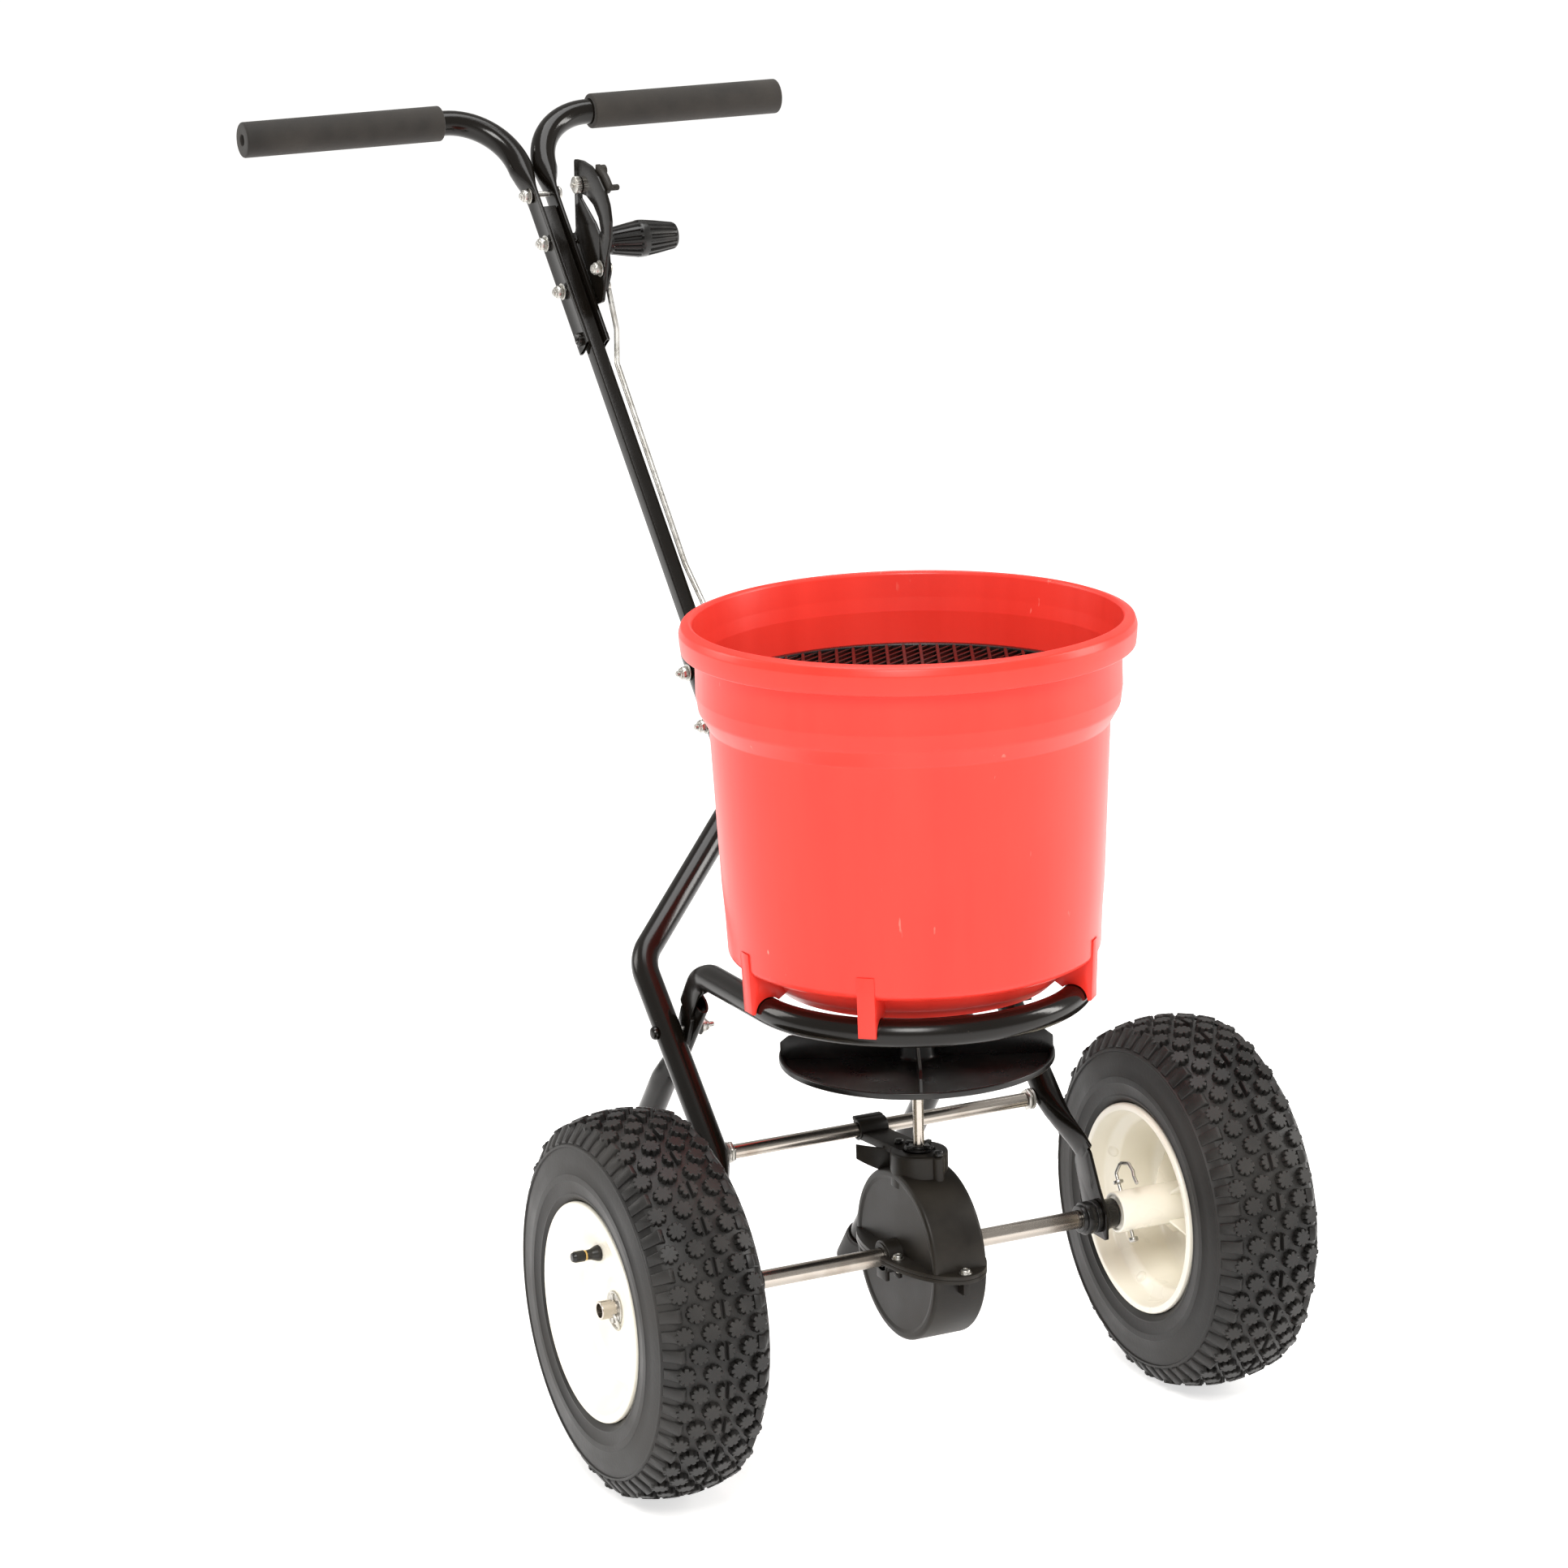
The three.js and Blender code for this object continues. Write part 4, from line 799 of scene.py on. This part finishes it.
def makeBolts():
    bolts = dict(handle=(348.8, 403.2, 458), frame=(-121, -65.5), standY=154, standZ=347)
    left, plateFace = -12.9, 16.1
    for i, s in enumerate(bolts["handle"]):
        place = onHandle(s)
        headX = 12.9 if i == 0 else plateFace
        finishPiece(throughBolt(headX, left, place.y, place.z, thread=1.6), f"handleBolt_{i + 1}", zinc, "frame",
                    (f"handle_bolt_{i + 1}",))
    for i, s in enumerate(bolts["frame"]):
        place = onHandle(s)
        finishPiece(throughBolt(19.6, -19.6, place.y, place.z, thread=3.0), f"frameBolt_{i + 1}", zinc, "frame",
                    (f"frame_bolt_{i + 1}",))
    for side, sign in sides:
        bolt = throughBolt(174.9, 133.0, bolts["standY"], bolts["standZ"], 3.4, 5.0)
        cap = acrossX(boltHead(6, 4.2), 174.9, bolts["standY"], bolts["standZ"])
        finishPiece(sided(cap, sign), f"standBoltCap_{side}", powderCoat, "frame")
        finishPiece(sided(bolt, sign), f"standBolt_{side}", zinc, "frame", (f"stand_bolt_{side}",))
    # rolled rivets that close the lower ends of the handle halves
    place = onHandle(295)
    for name, x, sign in (("left", -12.4, -1), ("right", 12.4, 1)):
        eye = spun(outline([(1.6, -1), (6.4, -1), (6.4, 2.4, 1.2), (4.6, 3.2, 0.8), (1.6, 1.8, 0.5)], 4), 28)
        finishPiece(acrossX(eye, x, place.y, place.z, sign), f"endRivet_{name}", powderCoat, "frame")


makeAxle()
makeCrossRod()
makeBolts()
print("axle, bushes, rod and bolts made")


# Wheels: drawn about Z with the outside up, then laid on the axle.

def wheelPlace(sign):
    place = shift(trackHalf, 0, axleZ) @ alongX
    return flipX @ place if sign < 0 else place


def makeRim(side, sign, body):
    rim = dict(hub=18, hubEnd=-71.4, dish=24, bore=8.5, gussets=4, rivets=4)
    bore, hub, dish, end = rim["bore"], rim["hub"], rim["dish"], rim["hubEnd"]
    profile = [(bore, dish + 2, 0.5), (18, dish + 2, 3), (26, dish, 4), (52, dish, 10), (64, dish + 3, 9),
               (76, 36, 10), (84, 46.4, 5), (87.5, 50.6, 1.8), (93.6, 51, 2.2), (94, 47, 1), (89.4, 31, 4),
               (79.4, 24, 3), (79.4, -22, 3), (89.4, -31, 4), (94, -47, 1), (93.6, -51, 2.2),
               (87.5, -50.6, 1.8), (84.6, -33, 6), (76, -25, 6), (75.4, 10, 9), (66, 20, 8), (hub + 4, 20.4, 4),
               (hub, 16, 3), (hub, end, 1.2), (hub - 2.6, end, 1.2), (hub - 2.6, end + 2), (bore, end + 2)]
    parts = [spun(outline(profile, 5), 112)]
    for i in range(rim["gussets"]):
        web = plate(outline([(16.5, 20.8), (66, 20.8), (64, 14, 4), (32, -14, 12), (16.5, -24)]), 2.6, 0.9)
        around = turn(45 + 360 * i / rim["gussets"], "Z") @ turn(90, "X")
        parts.append(moved(web, around @ shift(0, 0, -1.3)))
    for i in range(rim["rivets"]):
        stud = spun([(0, -1.6), (4.2, -1.4), (5.8, -0.2), (6.2, 1.2), (0, 1.2)], 20)
        parts.append(moved(stud, turn(20 + 360 * i / rim["rivets"], "Z") @ shift(81.6, 0, -29.5) @ turn(34, "Y")))
    whole = moved(joined(*parts), wheelPlace(sign))
    finishPiece(whole, f"wheelRim_{side}", creamPaint, body, (f"rim_{side}",), crease=42)


def treadHeight(u):
    return 164.8 - 7 * (u / 40) ** 2


# A raised tread block: its outline on the tread surface, narrower at the top.
def treadBlock(points, depth, taper=0.9, edge=0.55):
    bm = bmesh.new()
    ring = [bm.verts.new((p[0], p[1], -depth)) for p in points]
    closedEdges(bm, ring)
    bm.faces.new(ring)
    grown = bmesh.ops.extrude_face_region(bm, geom=bm.faces[:])["geom"]
    top = [g for g in grown if isinstance(g, bmesh.types.BMVert)]
    centre = sum((Vector(p) for p in points), Vector((0, 0))) / len(points)
    for vertex in top:
        vertex.co.x = centre.x + (vertex.co.x - centre.x) * taper
        vertex.co.y = centre.y + (vertex.co.y - centre.y) * taper
        vertex.co.z = 0
    bmesh.ops.delete(bm, geom=[f for f in bm.faces if all(v.co.z < -depth / 2 for v in f.verts)], context="FACES")
    rim = [e for e in bm.edges if all(v.co.z > -0.1 for v in e.verts)]
    bmesh.ops.bevel(bm, geom=rim, offset=edge, offset_type="OFFSET", affect="EDGES", segments=1, profile=0.5,
                    material=-1)
    return bm


def starPoints(reach, notch, count=8):
    points = []
    for i in range(count):
        middle = math.tau * i / count
        for turnBy, radius in ((-0.25, reach), (0.25, reach), (0.5, notch)):
            a = middle + turnBy * math.tau / count
            points.append(Vector((radius * math.cos(a), radius * math.sin(a))))
    return points


def makeTyre(side, sign, body):
    tread = dict(pitches=29, rows=(-34.2, -22.8, -11.4, 0, 11.4, 22.8, 34.2),
                 star=8.5, notch=6.2, depth=6.6, slit=0.9)
    step = math.tau / tread["pitches"]
    crown = [(treadHeight(u) - 5.2, u) for u in range(36, -37, -6)]
    half = [(93.0, 40.5), (94.4, 46, 2), (99, 49.4, 1), (100.4, 50.6, 0.6), (102, 50.2, 0.5), (111, 51.2),
            (112, 51.9, 0.4), (117.6, 51.9, 0.4), (118.6, 51.2), (128, 50.8), (136, 49.4), (139.6, 48.7),
            (140.2, 49.8, 0.3), (142.0, 49.4, 0.3), (142.6, 47.4), (147, 44), (151.6, 40, 3)]
    outside = outline([*half, *crown, *[(c[0], -c[1], *c[2:]) for c in reversed(half)], (92, -34),
                       (104, -40), (130, -41), (150, -22), (150, 22), (130, 41), (104, 40), (92, 34)], 3)
    carcass = spun(outside, 174)

    pitch = []
    star = starPoints(tread["star"], tread["notch"])
    for i, u in enumerate(tread["rows"]):
        tilt = math.atan2(14 * u, 1600)
        halves = [star]
        if u == 0:
            gapHalf = tread["slit"] / 2
            halves = [[Vector((p.x, max(p.y, gapHalf))) for p in star if p.y > -0.01],
                      [Vector((p.x, min(p.y, -gapHalf))) for p in star if p.y < 0.01]]
        for shape in halves:
            block = treadBlock(shape, tread["depth"])
            # block's own (x, y, up) to (round the tyre, along the axle, outwards)
            frameMatrix = Matrix(((0, -math.sin(tilt), math.cos(tilt), treadHeight(u)), (1, 0, 0, 0),
                                  (0, math.cos(tilt), math.sin(tilt), u), (0, 0, 0, 1)))
            around = Matrix.Rotation(step * (0.5 if i % 2 else 0), 4, "Z")
            pitch.append(moved(block, around @ frameMatrix))
    for end in (-1, 1):
        for k, (start, width) in enumerate(((0.5, 12.6), (0.0, 11.6))):
            long = 21.5 - 4 * k
            low, high = Vector((159.4 - k * 2.4, 36.8 + k * 2.2)), Vector((141.2, 50.6))
            direction = (high - low).normalized()
            centre = low + direction * long / 2
            lug = treadBlock(outline([(-width / 2, -long / 2, 1.2), (width / 2, -long / 2, 1.2),
                                      (width * 0.42, long / 2), (-width * 0.42, long / 2)], 2),
                            5.0, 0.86, 0.7)
            matrix = Matrix(((0, direction.x, direction.y, centre.x), (1, 0, 0, 0),
                             (0, end * direction.y, -end * direction.x, end * centre.y), (0, 0, 0, 1)))
            around = Matrix.Rotation(step * start, 4, "Z")
            pitch.append(moved(lug, around @ matrix))
    blocks = joined(*pitch)
    bmesh.ops.recalc_face_normals(blocks, faces=blocks.faces[:])
    bmesh.ops.spin(blocks, geom=blocks.verts[:] + blocks.edges[:] + blocks.faces[:], cent=(0, 0, 0),
                   axis=(0, 0, 1), angle=step * (tread["pitches"] - 1), steps=tread["pitches"] - 1,
                   use_duplicate=True)
    whole = moved(joined(carcass, blocks), wheelPlace(sign))
    finishPiece(whole, f"treadedTyre_{side}", rubber, body, (f"tyre_{side}",), crease=40)


def makeValve(side, sign, body):
    valve = dict(y=34, z=38, start=24.3)
    flare = spun(outline([(0, 0), (7, 0, 0.6), (6.6, 3, 1), (4.6, 8, 2), (4.2, 12, 0.5), (0, 12)], 4), 28)
    band = rod(4.5, 12, 14.2, 28, 0.4)
    cap = spun(outline([(0, 14.2), (4.9, 14.2, 0.5), (4.9, 22.5, 1), (3.6, 25.4, 1), (0, 25.6)], 4), 28)
    where = shift(sign * (trackHalf + valve["start"]), valve["y"], axleZ + valve["z"]) @ turn(90 * sign, "Y")
    whole = moved(joined(flare, cap), where)
    finishPiece(whole, f"valveStem_{side}", glossPlastic, body, (f"valve_stem_{side}",))
    finishPiece(moved(band, where), f"valveBand_{side}", brass, body)


def makeWheelPins():
    pin = dict(x=203, wire=1.6, lean=30, cotterX=291.5, cotterRing=9.5)
    loop = [Vector((0, 0, -29)), Vector((0, 0, 27)), Vector((0, 0, 34)), Vector((3, -7, 41)),
            Vector((6, -16, 38)), Vector((5, -22, 30)), Vector((3, -25, 24)), Vector((1, -31, 17))]
    route = finer(bentRoute(loop, [3, 3, 4, 5, 4, 3], 5), 6)
    wire = swept(route, lambda here: circle(pin["wire"], 12), side=(1, 0, 0))
    collar = spun(outline([(1.7, 24.4), (4.6, 24.4, 0.6), (4.6, 27.4, 1.0), (1.7, 27.8)], 3), 24)
    tail = moved(hexagon(8, 4, 0.6), turn(180, "X") @ shift(0, 0, 24.4))
    whole = moved(joined(wire, collar, tail), shift(pin["x"], 0, axleZ) @ turn(-pin["lean"], "X"))
    finishPiece(whole, "hubClip", zinc, "drive_axle", ("hitch_pin",))
    washer = spun(outline([(8.2, 1.6), (14.5, 1.6, 0.4), (14.5, 3.2, 0.4), (8.2, 3.2)], 3), 40)
    moved(washer, shift(-(trackHalf + 24.6), 0, axleZ) @ turn(-90, "Y"))
    ring = spun(circle(1.3, 10, (8.6, 0)), 32)
    moved(ring, shift(-pin["cotterX"], -2, axleZ - 10) @ turn(72, "Y"))
    leg = moved(rod(1.5, -13, 13, 14), shift(-pin["cotterX"], 0, axleZ))
    finishPiece(joined(washer, ring, leg), "cotterRing", zinc, "drive_axle", ("cotter_pin",))


for side, sign in sides:
    body = "free_wheel" if sign < 0 else "drive_axle"
    makeRim(side, sign, body)
    makeTyre(side, sign, body)
    makeValve(side, sign, body)
makeWheelPins()
print("wheels made")


# Rate gauge, lever and control rod on the right side of the handle.

def makeGauge():
    gauge = dict(x=12.8, thick=3.0, pivot=(640, 937))
    shape = outline([(694, 1034, 3), (676, 1034, 10), (657, 1031, 12), (640, 1023, 12), (627, 1012, 12),
                     (618, 998, 12), (615, 984, 10), (617, 968, 10), (626, 950, 8), (631, 930, 8),
                     (640, 905, 6), (664, 898, 6), (680, 905, 5), (713, 953, 5), (712, 962, 4),
                     (696, 964, 5)], 4)
    slot = outline([(683, 1003), (668, 1002, 6), (652, 995, 10), (641, 984, 8), (637, 972, 2), (642, 968, 2),
                    (652, 978, 8), (683, 998)], 4)
    holes = [slot, circle(3.4, 20, gauge["pivot"])]
    part = moved(plate(shape, gauge["thick"], 0.6, holes), shift(gauge["x"], 0, 0) @ intoYZ)
    finishPiece(part, "gaugePlate", powderCoat, "frame", ("gauge_plate",))
    x = gauge["x"] + gauge["thick"] + 0.3
    arc = [Vector((661 + 48 * math.cos(a), 986 + 48 * math.sin(a))) for a in
           [math.pi * (0.56 + 0.24 * k / 12) for k in range(13)]]
    arc += [Vector((661 + 36 * math.cos(a), 986 + 36 * math.sin(a))) for a in
            [math.pi * (0.8 - 0.24 * k / 12) for k in range(13)]]
    slider = moved(plate(arc, 5, 0.9), shift(x, 0, 0) @ intoYZ)
    ticks = [moved(box((x + 4.6, 0, 37), (x + 5.6, 1.1, 46), 0.2, 1), shift(0, 661, 986)
                   @ Matrix.Rotation(math.pi * (0.10 + 0.022 * k), 4, "X")) for k in range(8)]
    knob = spun(outline([(0, 0), (5.4, 0), (5.4, 4.6, 1), (3.4, 5.6, 0.6), (0, 5.6)], 4), 24)
    knob = acrossX(knob, x + 4.4, 650, 1027)
    pin = spun(outline([(0, 0), (2.9, 0), (2.9, 8.6, 1.6), (1.2, 9.6), (0, 9.6)], 4), 20)
    pin = acrossX(pin, x + 4.4, 630, 1013)
    finishPiece(joined(slider, knob, pin, *ticks), "rateStop", darkPlastic, "stop_slider", ("rate_stop",))
    nut = spun(outline([(0, 0), (8.3, 0, 0.5), (8.3, 5.4, 1.0), (5.2, 6.0, 0.5), (0, 6.0)], 4), 48)
    for vertex in nut.verts:      # knurled edge
        reach = math.hypot(vertex.co.x, vertex.co.y)
        if reach > 7 and math.cos(24 * math.atan2(vertex.co.y, vertex.co.x)) < 0:
            vertex.co.x *= 0.94
            vertex.co.y *= 0.94
    stem = rod(2.7, 5, 8.6, 18)
    finishPiece(acrossX(joined(nut, stem), gauge["x"] - 0.4, 682, 1011, -1), "thumbNut", zinc, "thumb_nut",
                ("gauge_nut",))


def makeLever():
    lever = dict(x=17.0, thick=2.6, pivot=(640, 937), hook=(648, 918.7), grip=(644, 961), length=72, flutes=16)
    (py, pz), (hy, hz), (gy, gz) = lever["pivot"], lever["hook"], lever["grip"]
    shape = outline([(py - 10, pz - 4, 4), (hy - 7, hz - 4, 4), (hy + 4, hz - 6, 4), (hy + 8, hz + 3, 4),
                     (py + 11, pz, 6), (gy + 10, gz - 8, 5), (gy + 9, gz + 9, 5), (gy - 9, gz + 9, 5),
                     (gy - 11, gz - 8, 5)], 4)
    arm = moved(plate(shape, lever["thick"], 0.6), shift(lever["x"], 0, 0) @ intoYZ)
    peg = acrossX(rod(5.4, 0, 58, 28), lever["x"] + 1, gy, gz)
    finishPiece(joined(arm, peg), "rateLever", powderCoat, "lever", ("rate_lever",))

    stations = [(5.8, 12), (5.8, 0, 0.6), (10.8, 0, 0.8), (11.6, 1.6), (12.2, 4), (12.5, 5.2), (14.1, 14),
                (15.9, 24), (17.0, 31.5), (17.4, 33), (17.6, 35, 1), (17.5, 38), (17.3, 40), (17.1, 41.4),
                (15.6, 52), (13.9, 62), (12.9, 68), (12.5, 69.4), (11.6, 71.2, 1), (0, 72), (0, 12)]
    grip = spun(outline(stations, 3), lever["flutes"] * 6)
    for vertex in grip.verts:
        u = vertex.co.z
        cut = 4.2 < u < 32.6 or 40.6 < u < 68.8
        angle = math.atan2(vertex.co.y, vertex.co.x) * lever["flutes"] / math.tau % 1
        if cut and math.hypot(vertex.co.x, vertex.co.y) > 11 and 0.30 < angle < 0.72:
            vertex.co.x *= 0.875
            vertex.co.y *= 0.875
    moved(grip, shift(lever["x"] + lever["thick"] + 0.3, gy, gz) @ alongX)
    finishPiece(grip, "leverGrip", glossPlastic, "lever", ("lever_grip",), crease=28)

    screw = throughBolt(lever["x"] + lever["thick"] + 0.3, 12.4, py, pz, 6.2, 1.0)
    finishPiece(screw, "pivotScrew", zinc, "frame", ("lever_pivot_bolt",))

    route = bentRoute([(23.0, hy, hz), onHandle(292, 16, 19.5), onHandle(258, 12.5, 10), onHandle(40, 10.4, 9),
                       (27, 176, 414), (27, 160, 409)], [10, 14, 20, 8], 8)
    wire = swept(finer(route, 20), lambda here: circle(2.6, 14), side=(1, 0, 0))
    eye = acrossX(rod(4.2, 0, 4.6, 20), 20.2, hy, hz)
    finishPiece(joined(wire, eye), "controlRod", zinc, "rod", ("control_rod",))


makeGauge()
makeLever()
for name, finish in (("shutter_guide", darkPlastic), ("shutter", zinc), ("drive_gear", darkPlastic), ("pinion", zinc),
                     ("agitator", zinc)):
    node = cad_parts[name]
    node.data.materials.clear()
    node.data.materials.append(finish)
print("gauge, lever and rod made")


# Floor, light and camera.

def makeFloor():
    floor = dict(size=60, tone=(0.86, 0.855, 0.85), glow=0.62)
    bm = bmesh.new()
    bmesh.ops.create_grid(bm, x_segments=2, y_segments=2, size=floor["size"])
    bmesh.ops.translate(bm, vec=(0, 0, -0.001), verts=bm.verts[:])
    mesh = bpy.data.meshes.new("studioFloor")
    bm.to_mesh(mesh)
    bm.free()
    material, shader = startFinish("paleFloor", specular=0.2)
    shader.inputs["Roughness"].default_value = 0.85
    shader.inputs["Base Color"].default_value = (*floor["tone"], 1)
    shader.inputs["Emission Color"].default_value = (1, 1, 1, 1)
    shader.inputs["Emission Strength"].default_value = floor["glow"]
    mesh.materials.append(material)
    sheet = bpy.data.objects.new("studioFloor", mesh)
    bpy.context.scene.collection.objects.link(sheet)


def makeLights():
    world = bpy.data.worlds.new("studio")
    bpy.context.scene.world = world
    world.use_nodes = True
    backdrop = world.node_tree.nodes["Background"]
    backdrop.inputs["Color"].default_value = (1.0, 0.985, 0.96, 1)
    backdrop.inputs["Strength"].default_value = 0.5
    middle = Vector((0, axleY + 0.1, 0.45))
    panels = (dict(name="keyPanel", at=(-1.5, -2.6, 3.0), size=(1.2, 1.6), power=105, tone=(1, 0.99, 0.97)),
              dict(name="sidePanel", at=(3.2, -1.2, 1.8), size=(0.7, 2.2), power=70, tone=(1, 0.98, 0.95)),
              dict(name="topPanel", at=(0.2, 0.4, 3.8), size=(2.2, 2.2), power=75, tone=(1, 1, 1)),
              dict(name="backPanel", at=(-2.8, 2.6, 2.2), size=(1.4, 2.0), power=50, tone=(1, 0.97, 0.93)))
    for panel in panels:
        light = bpy.data.lights.new(panel["name"], "AREA")
        light.shape = "RECTANGLE"
        light.size, light.size_y = panel["size"]
        light.energy = panel["power"]
        light.color = panel["tone"]
        lamp = bpy.data.objects.new(panel["name"], light)
        lamp.location = middle + Vector(panel["at"]) - Vector((0, 0, 0.45))
        lamp.rotation_euler = (middle - lamp.location).to_track_quat("-Z", "Y").to_euler()
        bpy.context.scene.collection.objects.link(lamp)


def makeCamera():
    view = dict(azimuth=-25.6, elevation=14.24, roll=-1.59, lens=117.2, at=(-1897.3, -3712.4, 1640.0))
    az, el, roll = (math.radians(view[k]) for k in ("azimuth", "elevation", "roll"))
    back = Vector((math.sin(az) * math.cos(el), -math.cos(az) * math.cos(el), math.sin(el)))
    level = Vector((math.cos(az), math.sin(az), 0))
    upright = back.cross(level)
    right = level * math.cos(roll) + upright * math.sin(roll)
    up = upright * math.cos(roll) - level * math.sin(roll)
    lens = bpy.data.cameras.new("productView")
    lens.lens = view["lens"]
    lens.sensor_width = 36
    lens.clip_end = 200
    camera = bpy.data.objects.new("productView", lens)
    place = Vector(view["at"]) / 1000 + Vector((0, axleY, 0))
    camera.matrix_world = Matrix(((right.x, up.x, back.x, place.x), (right.y, up.y, back.y, place.y),
                                  (right.z, up.z, back.z, place.z), (0, 0, 0, 1)))
    bpy.context.scene.collection.objects.link(camera)
    bpy.context.scene.camera = camera


makeFloor()
makeLights()
makeCamera()
bpy.context.scene.view_settings.view_transform = "Standard"
bpy.context.view_layer.update()
print("floor, lights and camera set")
